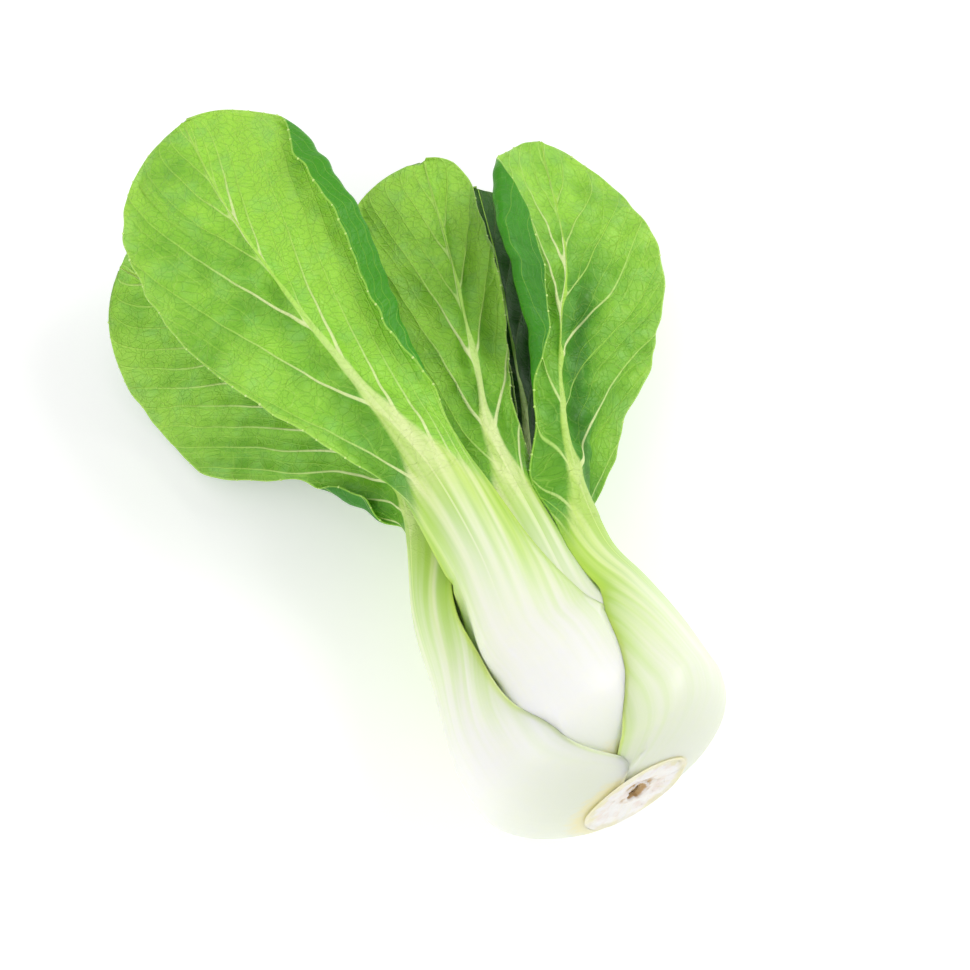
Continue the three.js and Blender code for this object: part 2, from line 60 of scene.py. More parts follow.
SINKS_IN = 0.12  # how far a stalk's margin sinks into the stalk that it covers
COVER_RIM = 0.5
COVER_SLOPE = 6.0
COVER_SLOPE_ANGLE = 18.0
STALKS_PART_AT = 67.0
PARTING_SLOPE = 1.2
MARGIN_THICKNESS = 0.35
ROLL_TURNS_WITHIN = 4.5
TIP = 0.9999
SCALLOPS = 0.4
SCALLOP_LENGTH = 9
MARGIN_WAVES = 2.5
FOOT_LENGTH = 14
FOOT_ROWS = 18
SETTLES_FROM = 0.45
SETTLING_FADES_OVER = 26.0
MOST_SETTLING = 6
SETTLING_ROUNDS = 3
MOST_RAISING = 1.5
RAISES_FROM = 14
RAISES_FULLY_FROM = 32

STEM_REACH = (0, 2, 4, 8, 12, 17, 18.5)
STEM_RADII = (12.6, 12.6, 12, 9.5, 6.5, 3, 0)
STEM_CLEARANCE = 0.4
PLATE_RADIUS = 14.6
PLATE_SHIFT = (1.3, 1.2)
PIT_RADIUS = 3.0
PIT_DEPTH = 1.5
PIT_SHIFT = 2.6
PIT_STRETCH = 1.5

STRAND_WIDTH = 0.42
STRAND_WIDENS = 1.6
STRAND_THINS_OVER = 24
STRAND_HEIGHT = 0.5
STRAND_WANDERS = ((1.4, 28, 0), (0.35, 10, 1))
FORK_WANDERS = ((7, 24, 2),)
BRANCHES_FROM = 5.0
TWIGS_FROM = 20.0
QUILT_DEPTH = 1.1
PUFFS = ((0.3, 8, 0), (0.5, 22, 6))
FINE_COLUMNS = 401
RIGHT_WAVES_LAG = 1.7
RIM_BULGE = 0.2
FIBRE_RING_RADIUS = 8.6
BEADS_HEIGHT = 0.4  # the least height of the line of beads above the floor
FLOOR_HALF = 3000

# One entry a leaf, outermost first. Pairs are for the left and the right side, shares are of the
# leaf's length, and what an entry leaves out is as usual.
# angle: the leaf's place round the axis in degrees, 0 on top.
# bulb: how far out the stalk stands at the widest place, how far from the cut it starts, and its
# distance from the axis there. flare: how much of the way out it has gone 2.2, 7 and 13 mm on.
# way: the line of its middle above the bulb. neck: the share where the stalk ends.
# thick, rib: thickness of the stalk and height of its rib.
# halves, right_halves: half widths of the stalk up to the neck. bows: the radii it is rounded to.
# neck_half, blade_half: half widths of the neck and of the blade where it is widest.
# widest, fullness, taper, sides: where along the blade it is widest, the powers by which it widens
# and closes, and what each side's width is multiplied by.
# cup: how much the blade is bowed across. turn, neck_turn: degrees that the blade and the neck turn
# about their middle.
# roll_left, roll_right: the rolled margin's degrees and width, and the shares where it opens, is
# full, begins to close and is gone. wave: height and phase of the margin's waves.
# settles_to: how far from the cut the stalk's sides are lowered onto the stalks under it.
# tone: how deep the green is; above 0.95 it turns to the painted shade of the middle leaves. tones: painted
# shade that each side adds as the light falls on it, painted light where negative. trough: painted shade
# that a band beside the middle adds, painted light where negative, its distance from the middle, its half
# width and where it ends, from the neck.
# core: how white the stalk's middle is, partly its pale rib and partly a painted highlight. yellow_to,
# yellow_over:
# length and fading of the yellow foot.
# veins: where the strands leave the rib, in millimetres from the neck, and how strong each is.
# spread: how far a strand runs along the leaf for each millimetre that it moves out.
# seed: for the scallops and puckers. pitch, columns: the mesh's row spacing and its columns.
USUAL = dict(
    right_halves=None, flare=(0.34, 0.7, 0.94), fullness=(0.85, 0.85), widest=(0.62, 0.62),
    taper=(2.3, 2.3), sides=(1, 1), neck_turn=None, roll_left=(0, 0, 0, 0.1, 0.9, 1),
    roll_right=(0, 0, 0, 0.1, 0.9, 1), spread=(3.1, 3.1), settles_to=76, tone=0.3, side_shading=(0, 0),
    shading_band=(0.15, 3, 9, 88), core=1, yellow_to=0.6, yellow_over=1.6, seed=3,
    veins=({-31: 0.5, -18: 0.6, -4: 0.9, 16: 1, 36: 0.8, 55: 0.7, 72: 0.5, 87: 0.4},
           {-28: 0.5, -13: 0.7, 4: 1, 26: 0.9, 46: 0.8, 63: 0.6, 79: 0.5, 93: 0.4}),
    pitch=0.8, columns=70,
)
LEAVES = {
    "leaf_01": dict(
        angle=-78, bulb=(33.6, 0.5, 12), neck=0.458, thick=7, rib=4.2,
        way=((-26, 32, 38.5), (-20, 52, 38), (-7, 79, 36), (-7, 100, 33), (-13, 127, 31),
             (-21, 158, 28), (-34, 185, 25)),
        bows=(14.5, 30, 24, 13), halves=(18, 33.5, 31, 25, 19.5, 13.5),
        right_halves=(14.5, 30.5, 31, 25, 19.5, 13.5), neck_half=9.5, blade_half=33,
        cup=0.004, turn=45, fullness=(2.3, 0.85), widest=(0.6, 0.62), sides=(1.13, 1),
        taper=(2.1, 2.3), roll_left=(150, 7, 0.49, 0.56, 0.58, 0.66), wave=(1.5, 0), tone=0.42,
        pitch=0.55, columns=110, spread=(1.5, 2.2), settles_to=64, core=0.2, yellow_to=2.5, yellow_over=5,
        veins=({-20: 0.6, -12: 0.7, -3: 0.9, 7: 0.9, 17: 1, 27: 1, 37: 0.9, 47: 0.9, 57: 0.9, 67: 0.8,
                77: 0.7, 88: 0.5},
               {-28: 0.5, -13: 0.7, 4: 1, 20: 0.9, 36: 0.8, 52: 0.6, 68: 0.5, 84: 0.4}),
    ),
    "leaf_02": dict(
        angle=62.5, bulb=(36, 0.5, 15), neck=0.415, thick=7, rib=4,
        flare=(0.46, 0.84, 0.99),
        way=((30.2, 27, 47), (28.4, 41, 46.5), (33.2, 62, 46), (42, 82, 48.5), (51.5, 97, 52),
             (62, 112, 54), (75.5, 146, 50)),
        bows=(14, 28, 27, 13), halves=(20, 35, 33.5, 26, 18.3, 10.4),
        right_halves=(18, 32, 30, 23, 16, 11), neck_half=9, blade_half=31,
        cup=-0.01, turn=-34, neck_turn=-24, fullness=(4.2, 0.3), widest=(0.72, 0.53), taper=(2.2, 1.85),
        side_shading=(0.1, 0), shading_band=(0.75, 7, 7, 88), core=0.3, seed=5, spread=(3, 1.6), sides=(0.6, 0.93),
        roll_left=(165, 12, 0.53, 0.8, 0.82, 0.99), settles_to=108, wave=(1.2, 1), tone=0.35,
        pitch=0.5, columns=112,
        veins=({-30: 0.4, -23: 0.5, -16: 0.4, -8: 0.6, 10: 0.6, 30: 0.6, 54: 0.9, 68: 0.8, 84: 0.4},
               {-30: 0.5, -13: 0.7, 12: 1, 30: 0.5, 45: 0.8, 60: 0.5, 75: 0.5, 90: 0.4}),
    ),
    "leaf_03": dict(
        angle=-178, bulb=(34.8, 1.5, 12.5), neck=0.466, thick=7, rib=4.2,
        way=((-2, 27, 2.5), (2, 52, 6), (7, 80, 5), (9, 108, 1.8), (12, 140, -0.3), (13, 168, 1)),
        bows=(14, 24, 20, 14), halves=(14, 31, 31, 25, 18, 14), neck_half=10.5, blade_half=28,
        cup=0.003, turn=0, fullness=(0.85, 3.2), sides=(1, 0.85), wave=(1, 2), columns=80,
    ),
    "leaf_04": dict(
        angle=-14, bulb=(31.6, 4, 14), neck=0.4375, thick=7, rib=4.2,
        way=((-7.5, 27, 61), (-3, 50, 58.8), (-1, 75, 57), (-3, 93, 58), (-6, 114, 60),
             (-8, 139, 61), (-8, 167, 60), (-4, 198, 55)),
        bows=(12.5, 23, 21, 12.5), halves=(14, 27, 28, 24, 18, 14),
        right_halves=(14, 28, 31, 28, 22.5, 15), neck_half=11, blade_half=31,
        cup=0.004, turn=4, fullness=(0.85, 1.15), sides=(0.96, 0.84), taper=(2.5, 4),
        roll_right=(160, 9.5, 0.45, 0.68, 0.86, 0.99), shading_band=(-0.55, -20, 12, 72), side_shading=(0.4, -0.3),
        seed=8, spread=(2.5, 4.4),
        wave=(1.2, 2), tone=0.15, yellow_to=6.0, yellow_over=6.0, pitch=0.5, columns=122,
        veins=({-34: 0.4, -23: 0.5, -8: 0.8, 21: 1, 50: 0.95, 72: 0.45, 88: 0.5, 102: 0.4},
               {-30: 0.5, -20: 0.6, -8: 0.9, 11: 1, 36: 0.95, 54: 0.45, 73: 0.6, 87: 0.7, 100: 0.4}),
    ),
    "leaf_05": dict(
        angle=115, bulb=(33.2, 4, 14), neck=0.436, thick=7, rib=4, flare=(0.42, 0.82, 0.98),
        way=((24, 27, 21.5), (29, 49, 20), (35, 76, 13.5), (49, 96, 8), (67, 116, 4),
             (82, 135, 1.8), (90, 152, 2.5)),
        bows=(12.5, 20.5, 17, 12), halves=(14, 27, 28, 22, 16, 13), neck_half=10, blade_half=24,
        cup=0.003, turn=58, wave=(1.2, 1), columns=76,
    ),
    "leaf_06": dict(
        angle=-107.5, bulb=(24, 8.5, 13.5), neck=0.4465, thick=5.5, rib=3.8,
        way=((-20.5, 31, 25.5), (-13, 54, 21), (-2, 88, 14), (0, 123, 8), (-10, 152, 4),
             (-23, 176, 3)),
        bows=(11, 15, 14, 11), halves=(11, 20, 19, 15, 11, 9), neck_half=9, blade_half=23,
        cup=0.004, turn=-72, fullness=(0.85, 3.2), sides=(1, 0.75), wave=(1.2, 4),
    ),
    "leaf_07": dict(
        angle=30, bulb=(27, 8.5, 13.5), neck=0.434, thick=5.5, rib=3.8,
        way=((12.3, 31, 54), (15.2, 51, 51), (19, 79, 49), (25.5, 96, 48), (31, 111, 47),
             (38, 130, 46), (48, 161, 43)),
        bows=(11, 18, 34, 28), halves=(11, 20, 20, 19, 17, 13),
        right_halves=(11, 20, 24, 28, 27, 19), neck_half=9.5, blade_half=25,
        cup=0.006, turn=-30, neck_turn=-4, sides=(1, 0.44), taper=(4.5, 7), wave=(1, 3), seed=4,
        tone=0.2, pitch=0.55, columns=84,
        veins=({-30: 0.5, -15: 0.7, 0: 0.6, 15: 0.9, 38: 0.8, 54: 0.5, 70: 0.5, 86: 0.4},
               {-25: 0.6, -8: 0.9, 14: 1, 40: 0.6, 60: 0.5, 80: 0.4}),
    ),
    "leaf_08": dict(
        angle=167.5, bulb=(23, 8.5, 13.5), neck=0.446, thick=5.5, rib=3.8,
        way=((3.5, 31, 14), (5, 52, 16.5), (23, 90, 14), (32, 116, 11), (41, 142, 9), (50, 165, 8)),
        bows=(11, 15, 14, 11), halves=(11, 20, 19, 16, 12, 9), neck_half=8, blade_half=22,
        cup=0.004, turn=0, fullness=(0.85, 2), sides=(1, 0.8), wave=(1, 0),
    ),
    "leaf_09": dict(
        angle=-55, bulb=(17, 12, 9.8), neck=0.435, thick=4.5, rib=3.2,
        way=((-13, 32, 42), (-7, 52, 40.5), (16, 88, 38), (20, 116, 35), (26, 142, 33),
             (31, 163, 32)),
        bows=(9, 12, 11, 10), halves=(9, 16, 15, 12, 10, 8), neck_half=7, blade_half=22,
        cup=0.006, turn=50, wave=(1, 4), tone=1.3, columns=60,
    ),
    "leaf_10": dict(
        angle=82.5, bulb=(16, 12, 9.8), neck=0.434, thick=4.5, rib=3.2,
        way=((13, 32, 34.5), (14.5, 52, 34), (32, 82, 31), (44, 109, 27), (54, 133, 25),
             (62, 156, 24)),
        bows=(9, 12, 11, 10), halves=(9, 15, 14, 12, 10, 8), neck_half=7, blade_half=19,
        cup=0.006, turn=-62, wave=(1, 5), tone=1.3, columns=56,
    ),
    "leaf_11": dict(
        angle=-140, bulb=(11, 15.5, 6.5), neck=0.432, thick=3.5, rib=2.6,
        way=((-7, 35, 26), (-2, 52, 26), (15, 92, 23.5), (20, 120, 20), (25, 144, 18.5)),
        bows=(7, 9, 9, 8), halves=(6, 11, 11, 9, 7, 6), neck_half=5.5, blade_half=14,
        cup=0.008, turn=-50, wave=(0.8, 5), tone=1.3, pitch=0.9, columns=40,
    ),
}


def smooth(low, high, x):
    share = np.clip((np.asarray(x, float) - low) / (high - low), 0, 1)
    return share * share * (3 - 2 * share)


def through(xs, ys):
    """A smooth curve through the points that doesn't overshoot them, level beyond its ends."""
    xs = np.asarray(xs, float)
    ys = np.asarray(ys, float)
    gaps = np.diff(xs)
    rises = np.diff(ys) / gaps
    slopes = np.zeros_like(ys)
    slopes[0], slopes[-1] = rises[0], rises[-1]
    for i in range(1, len(xs) - 1):
        if rises[i - 1] * rises[i] > 0:
            before = 2 * gaps[i] + gaps[i - 1]
            after = gaps[i] + 2 * gaps[i - 1]
            slopes[i] = (before + after) / (before / rises[i - 1] + after / rises[i])

    def curve(x):
        x = np.clip(np.asarray(x, float), xs[0], xs[-1])
        i = np.clip(np.searchsorted(xs, x, side="right") - 1, 0, len(xs) - 2)
        u = (x - xs[i]) / gaps[i]
        return ((1 + 2 * u) * (1 - u) ** 2 * ys[i] + u * (1 - u) ** 2 * gaps[i] * slopes[i]
                + u * u * (3 - 2 * u) * ys[i + 1] + u * u * (u - 1) * gaps[i] * slopes[i + 1])
    return curve


def line_through(points, samples=160):
    """A dense line through the points, and the length along it at each of its points."""
    p = np.asarray(points, float)
    p = np.vstack([2 * p[0] - p[1], p, 2 * p[-1] - p[-2]])
    u = np.linspace(0, 1, samples, endpoint=False)[:, None]
    parts = []
    for a, b, c, d in zip(p, p[1:], p[2:], p[3:]):
        parts.append(0.5 * (2 * b + (c - a) * u + (2 * a - 5 * b + 4 * c - d) * u ** 2
                            + (3 * b - a - 3 * c + d) * u ** 3))
    parts.append(p[-2][None])
    line = np.vstack(parts)
    steps = np.linalg.norm(np.diff(line, axis=0), axis=1)
    return line, np.concatenate([[0], np.cumsum(steps)])


def lean_at(reach):
    """How far the head's axis has moved sideways, that far from the cut."""
    lean = LEAN * np.maximum(0.0, reach - LEAN_STARTS)
    return lean * lean / (lean + LEAN_EASES_OVER)


def on_axis(reach):
    return np.array([lean_at(reach), reach - CUT_TO_WIDEST, AXIS_HEIGHT])


def polar_of(points):
    """Angle, radius and reach of points round the head's axis."""
    reach = points[..., 1] + CUT_TO_WIDEST
    dx = points[..., 0] - lean_at(reach)
    dz = points[..., 2] - AXIS_HEIGHT
    return np.degrees(np.arctan2(dx, dz)), np.hypot(dx, dz), reach


def from_polar(angle, radius, reach):
    a = np.radians(angle)
    return np.stack([lean_at(reach) + radius * np.sin(a), reach - CUT_TO_WIDEST,
                     AXIS_HEIGHT + radius * np.cos(a)], -1)


def ripple(x, y, wavelength, seed, waves=9):
    """Smooth irregular waves of about one size, from -1 to 1, over two lengths."""
    random = np.random.default_rng(seed)
    total = np.zeros(np.broadcast(x, y).shape)
    for _ in range(waves):
        heading, phase = random.uniform(0, 2 * math.pi, 2)
        pace = 2 * math.pi / (wavelength * random.uniform(0.7, 1.5))
        total += np.sin(pace * (x * math.cos(heading) + y * math.sin(heading)) + phase)
    return total / math.sqrt(waves * 2)


def ripples(leaf, kinds):
    """Waves over a leaf, of some heights, lengths and places in the order of its seeds."""
    seed = leaf.spec["seed"]
    return sum(height * ripple(leaf.x, leaf.s, length, seed + place) for height, length, place in kinds)


def unit(vectors):
    return vectors / (np.linalg.norm(vectors, axis=-1, keepdims=True) + 1e-12)


class Leaf:
    """One leaf's surfaces: shares run from its base to its tip, and sides from -1 to 1."""

    def __init__(self, name, spec):
        self.name = name
        self.spec = spec = {**USUAL, **spec}
        self.angle = spec["angle"]
        a = math.radians(self.angle)
        self.out = np.array([math.sin(a), 0, math.cos(a)])
        self.across = np.array([math.cos(a), 0, -math.sin(a)])
        self.neck = neck = spec["neck"]
        far, start, root = spec["bulb"]
        flare = list(zip((0, 2.2, 7, 13, 19), (0, *spec["flare"], 1)))
        points = [on_axis(start + d) + self.out * (root + k * (far - root)) for d, k in flare]
        points.append(on_axis(start + 31) + self.out * (far - 0.8))
        points += [np.array(p, float) for p in spec["way"]]
        self.line, self.lengths = line_through(points)
        self.length = self.lengths[-1]
        cup, thick, rib, half = spec["cup"], spec["thick"], spec["rib"], spec["neck_half"]
        bows = [1 / bow for bow in spec["bows"]]
        self.bow = through([0, 0.1, 0.22, neck, neck + 0.12, 0.8, 1], bows + [cup * 0.6, cup, cup])
        self.thickness = through([0, 0.1, 0.25, neck, neck + 0.12, neck + 0.3, 1],
                                 [thick * k for k in (0.45, 0.95, 0.95, 0.62, 0.2, 0.1, 0.1)])
        self.rib_height = through([0, neck - 0.14, neck, neck + 0.12, 0.8, 1],
                                  [0, 0, rib * 0.75, rib * 0.8, rib * 0.25, 0.15])
        self.rib_half = through([0, neck - 0.14, neck, neck + 0.15, 0.8, 1],
                                [half * 1.3, half * 1.1, half * 0.9, half * 0.5, 1.6, 0.8])
        self.pale_half = through([0, neck - 0.1, neck, neck + 0.05, neck + 0.12, neck + 0.2, 0.85, 1],
                                 [half * 4, half * 1.6, half * 0.62, half * 0.3, half * 0.16,
                                  half * 0.08, 0.2, 0.1])
        turn = spec["turn"]
        neck_turn = turn * 0.45 if spec["neck_turn"] is None else spec["neck_turn"]
        self.turn = through([0, neck - 0.28, neck, neck + 0.15, 1], [0, 0, neck_turn, turn * 0.85, turn])
        places = [0, 0.06, 0.12, 0.18, 0.25, 0.33, neck]
        self.stalk_halves = [through(places, [*halves, half])
                             for halves in (spec["halves"], spec["right_halves"] or spec["halves"])]
        self.share = shares_of(self)
        self.sides = sides_of(self)
        self.x = self.sides[None] * self.halves(self.share, self.sides)
        self.s = (self.share[:, None] - neck) * self.length + 0 * self.x
        self.outer, self.inner = self.faces()
        self.veins = self.strands()

    def roll(self, share, i):
        """Width of the rolled margin beyond the fold, on the left or the right."""
        _, width, opens, full, closes, gone = self.spec[("roll_left", "roll_right")[i]]
        return width * smooth(opens, full, share) * smooth(gone, closes, share)

    def half(self, share, side):
        """Half width at each share, on one side of the middle."""
        spec, i = self.spec, 0 if side < 0 else 1
        grown = np.clip((share - self.neck) / (1 - self.neck), 0, 1)
        widest, half, blade = spec["widest"][i], spec["neck_half"], spec["blade_half"]
        widening = half + (blade - half) * smooth(0, widest, grown) ** spec["fullness"][i]
        beyond = np.clip((grown - widest) / (1 - widest), 0, 1)
        closing = blade * np.clip(1 - beyond ** spec["taper"][i], 0, 1) ** 0.5
        scale = 1 + (spec["sides"][i] - 1) * smooth(0, 0.3, grown)
        in_blade = np.where(grown < widest, widening, closing) * scale + self.roll(share, i)
        scallops = ripple(share * self.length, 60 * side, SCALLOP_LENGTH, spec["seed"])
        in_blade = in_blade + SCALLOPS * scallops * smooth(0, 0.2, grown) * smooth(2, 10, in_blade)
        return np.where(share < self.neck, self.stalk_halves[i](share), in_blade)

    def halves(self, share, sides):
        return np.where(sides[None] < 0, self.half(share, -1)[:, None], self.half(share, 1)[:, None])

    def middle(self, share):
        s = np.asarray(share) * self.length
        return np.stack([np.interp(s, self.lengths, self.line[:, i]) for i in range(3)], -1)

    def heading(self, share):
        """Outward and sideways directions at each share."""
        step = 0.025
        ahead = unit(self.middle(np.clip(share + step, 0, 1)) - self.middle(np.clip(share - step, 0, 1)))
        out = np.broadcast_to(self.out, ahead.shape)
        upright = unit(out - (out * ahead).sum(-1, keepdims=True) * ahead)
        follows = smooth(0.12, self.neck, share)[:, None]
        facing = unit(out * (1 - follows) + upright * follows)
        side = np.cross(ahead, facing)
        side = unit(side - (side * facing).sum(-1, keepdims=True) * facing)
        side = side * np.sign((side * self.across).sum(-1, keepdims=True))
        a = np.radians(self.turn(share))[:, None]
        return facing * np.cos(a) + side * np.sin(a), side * np.cos(a) - facing * np.sin(a)

    def lamina(self, share, sides):
        """The outer face without its rib, as rows by columns of points."""
        spec, neck = self.spec, self.neck
        fine = np.linspace(-1, 1, FINE_COLUMNS)
        x = fine[None] * self.halves(share, fine)
        slope = self.bow(share)[:, None] * x
        for i, side in enumerate((-1, 1)):
            beyond_fold = side * x - (self.half(share, side) - self.roll(share, i))[:, None]
            turned = smooth(0, 1, beyond_fold / ROLL_TURNS_WITHIN)
            slope = slope - side * math.radians(spec[("roll_left", "roll_right")[i]][0]) * turned
        steps = np.diff(x, axis=1)
        sums = []
        for f in (np.cos(slope), np.sin(slope)):
            total = np.cumsum((f[:, 1:] + f[:, :-1]) / 2 * steps, axis=1)
            total = np.concatenate([np.zeros((len(share), 1)), total], axis=1)
            total -= total[:, [len(fine) // 2]]
            sums.append(np.stack([np.interp(sides, fine, row) for row in total]))
        height, phase = spec["wave"]
        waved = smooth(neck + 0.03, neck + 0.2, share)[:, None] * height * np.abs(sides[None]) ** 2.5
        turns = MARGIN_WAVES * (share[:, None] - neck) / (1 - neck)
        lag = np.where(sides > 0, RIGHT_WAVES_LAG, 0)[None]
        waved = waved * np.sin(2 * math.pi * turns + phase + lag)
        facing, side = self.heading(share)
        sunk = sums[1] + self.rib_height(share)[:, None] - waved
        return (self.middle(share)[:, None] + sums[0][..., None] * side[:, None]
                - sunk[..., None] * facing[:, None])

    def faces(self):
        """Outer and inner faces, as rows by columns of points."""
        share, sides = self.share, self.sides
        middle = self.lamina(share, sides)
        along = (self.lamina(np.clip(share + 0.003, 0, TIP), sides)
                 - self.lamina(np.clip(share - 0.003, 0, 1), sides))
        across = (self.lamina(share, np.clip(sides + 0.01, -1, 1))
                  - self.lamina(share, np.clip(sides - 0.01, -1, 1)))
        normal = unit(np.cross(across, along))
        facing, _ = self.heading(share)
        normal = normal * np.sign((normal * facing[:, None]).sum(-1).mean())
        across_rib = self.x / self.rib_half(share)[:, None]
        bump = self.rib_height(share)[:, None] * np.exp(-1.6 * across_rib ** 2)
        most = np.maximum(self.thickness(share)[:, None], MARGIN_THICKNESS)
        across_profile = np.clip(1 - sides[None] ** 2, 0, 1) ** 0.8
        thickness = MARGIN_THICKNESS + (most - MARGIN_THICKNESS) * across_profile
        return middle + normal * bump[..., None], middle - normal * thickness[..., None]

    def strands(self):
        """Strand number, distance to the next, width, and the numbers of branches and twigs."""
        spec, share, sides, s = self.spec, self.share, self.sides, self.s
        x = np.abs(self.x)
        run = 3 * np.logaddexp(0, s / 3)
        reach = np.zeros_like(x)
        for side in (-1, 1):
            half = self.half(share, side)
            half = np.where(share < self.neck, spec["neck_half"], half)
            past_widest = np.arange(len(share)) > np.argmax(half)
            half = np.where(past_widest, half.max(), half)
            along_margin = 0.6 * x + 0.4 * np.abs(sides[None]) * half[:, None]
            reach = np.where((sides < 0)[None] == (side < 0), along_margin, reach)
        leaves_rib = run - np.where(sides < 0, *spec["spread"])[None] * reach
        wander = ripples(self, STRAND_WANDERS)
        leaves_rib = leaves_rib + wander * smooth(0, 25, s)
        number = np.zeros_like(x)
        strength = np.zeros_like(x)
        for strands, here in ((spec["veins"][0], sides < 0), (spec["veins"][1], sides >= 0)):
            places = np.array(list(strands), float)
            first, last = places[1] - places[0], places[-1] - places[-2]
            knots = np.concatenate([[places[0] - 9 * first], places, [places[-1] + 9 * last]])
            order = np.concatenate([[-9], np.arange(len(places)), [len(places) + 8]])
            number[:, here] = through(knots, order)(leaves_rib[:, here])
            nearest = np.clip(np.rint(number[:, here]), 0, len(places) - 1).astype(int)
            strength[:, here] = np.array(list(strands.values()))[nearest]
        steps_s = np.gradient(share * self.length)[:, None]
        steps_x = np.maximum(np.abs(np.gradient(x, axis=1)), 1e-3)
        steepness = np.hypot(np.gradient(number, axis=0) / steps_s, np.gradient(number, axis=1) / steps_x)
        spacing = np.clip(1 / np.maximum(steepness, 1e-3), 0.5, 12)
        gone = np.maximum(run - np.maximum(leaves_rib, 0), 0)
        width = STRAND_WIDTH + STRAND_WIDENS * np.exp(-gone / STRAND_THINS_OVER)
        width = width * smooth(-50, 4, s) * strength
        forks = gone + ripples(self, FORK_WANDERS)
        branch = number - 0.52 * smooth(BRANCHES_FROM, BRANCHES_FROM + 24, forks)
        twig = number + 0.27 * smooth(TWIGS_FROM, TWIGS_FROM + 20, forks)
        return number, spacing, width, branch, twig


REACH_LEVELS = np.arange(0, 121, 3.0)
ANGLES = np.linspace(-180, 180, 145)
FAR = 99.0
stem_radius = through(STEM_REACH, STEM_RADII)


def levels_of(leaf, face):
    """Angles and radii of a face of a stalk at each level of reach that it crosses."""
    rows = leaf.share < leaf.neck + 0.02
    angle, radius, reach = polar_of(face[rows])
    angle = (angle - leaf.angle + 180) % 360 - 180
    for i, level in enumerate(REACH_LEVELS):
        if reach.min() - 3 <= level <= reach.max():
            columns = range(face.shape[1])
            a = np.array([np.interp(level, reach[:, j], angle[:, j]) for j in columns])
            r = np.array([np.interp(level, reach[:, j], radius[:, j]) for j in columns])
            order = np.argsort(a)
            yield i, a[order], r[order]


def top_of(leaf):
    """The radius of a leaf's outer face over reach and angle, and 0 where there is none."""
    table = np.zeros((len(REACH_LEVELS), len(ANGLES)))
    for i, a, r in levels_of(leaf, leaf.outer):
        table[i] = np.interp(ANGLES, a, r, left=0, right=0)
    return leaf.angle, table


def evened(values, reach, axis):
    """Values averaged twice over their neighbours along one axis."""
    for _ in range(2):
        padded = np.concatenate([np.repeat(values.take([0], axis), reach, axis), values,
                                 np.repeat(values.take([-1], axis), reach, axis)], axis)
        sums = np.cumsum(padded, axis)
        sums = np.concatenate([np.zeros_like(sums.take([0], axis)), sums], axis)
        count = values.shape[axis]
        ends = sums.take(range(2 * reach + 1, 2 * reach + 1 + count), axis)
        values = (ends - sums.take(range(count), axis)) / (2 * reach + 1)
    return values


def settle(leaf, tops):
    """Lowers the sides of a stalk onto the stalks under it."""
    angle, radius, reach = polar_of(leaf.inner)
    under = np.zeros(radius.shape)
    for top in tops:
        under = np.maximum(under, room_under(top, angle, reach))
    until = leaf.spec["settles_to"]
    settles = smooth(SETTLES_FROM, 0.95, np.abs(leaf.sides))[None]
    settles = settles * smooth(until, until - SETTLING_FADES_OVER, reach)
    most_raising = MOST_RAISING * smooth(RAISES_FROM, RAISES_FULLY_FROM, reach)
    drop = np.zeros(radius.shape)
    for _ in range(SETTLING_ROUNDS):
        gap = np.where(under > 1, radius - drop - under + SINKS_IN, 0)
        more = np.clip(gap, -most_raising - drop, MOST_SETTLING - drop) * settles
        drop = drop + evened(evened(more, 9, 0), 5, 1)
    faces = [polar_of(face) for face in (leaf.outer, leaf.inner)]
    leaf.outer, leaf.inner = [from_polar(a, r - drop, y) for a, r, y in faces]


def ceiling_of(leaf):
    """The radius of a leaf's inner face over reach and angle, and FAR where it doesn't cover."""
    table = np.full((len(REACH_LEVELS), len(ANGLES)), FAR)
    for i, a, r in levels_of(leaf, leaf.inner):
        if len(a):
            rim = np.degrees(COVER_RIM / r[[0, -1]])
            a = np.concatenate([[a[0] - rim[0] - COVER_SLOPE_ANGLE, a[0] - rim[0]], a,
                                [a[-1] + rim[1], a[-1] + rim[1] + COVER_SLOPE_ANGLE]])
            r = np.concatenate([[r[0] + COVER_SLOPE, r[0]], r, [r[-1], r[-1] + COVER_SLOPE]])
            table[i] = np.interp(ANGLES, a, r, left=FAR, right=FAR)
    return leaf.angle, table


def room_under(ceiling, angle, reach):
    centre, table = ceiling
    angle = (angle - centre + 180) % 360 - 180
    a = np.clip((angle + 180) / (ANGLES[1] - ANGLES[0]), 0, len(ANGLES) - 1.001)
    b = np.clip(reach / REACH_LEVELS[1], 0, len(REACH_LEVELS) - 1.001)
    i, j = a.astype(int), b.astype(int)
    a, b = a - i, b - j
    low = table[j, i] * (1 - a) + table[j, i + 1] * a
    high = table[j + 1, i] * (1 - a) + table[j + 1, i + 1] * a
    return low * (1 - b) + high * b


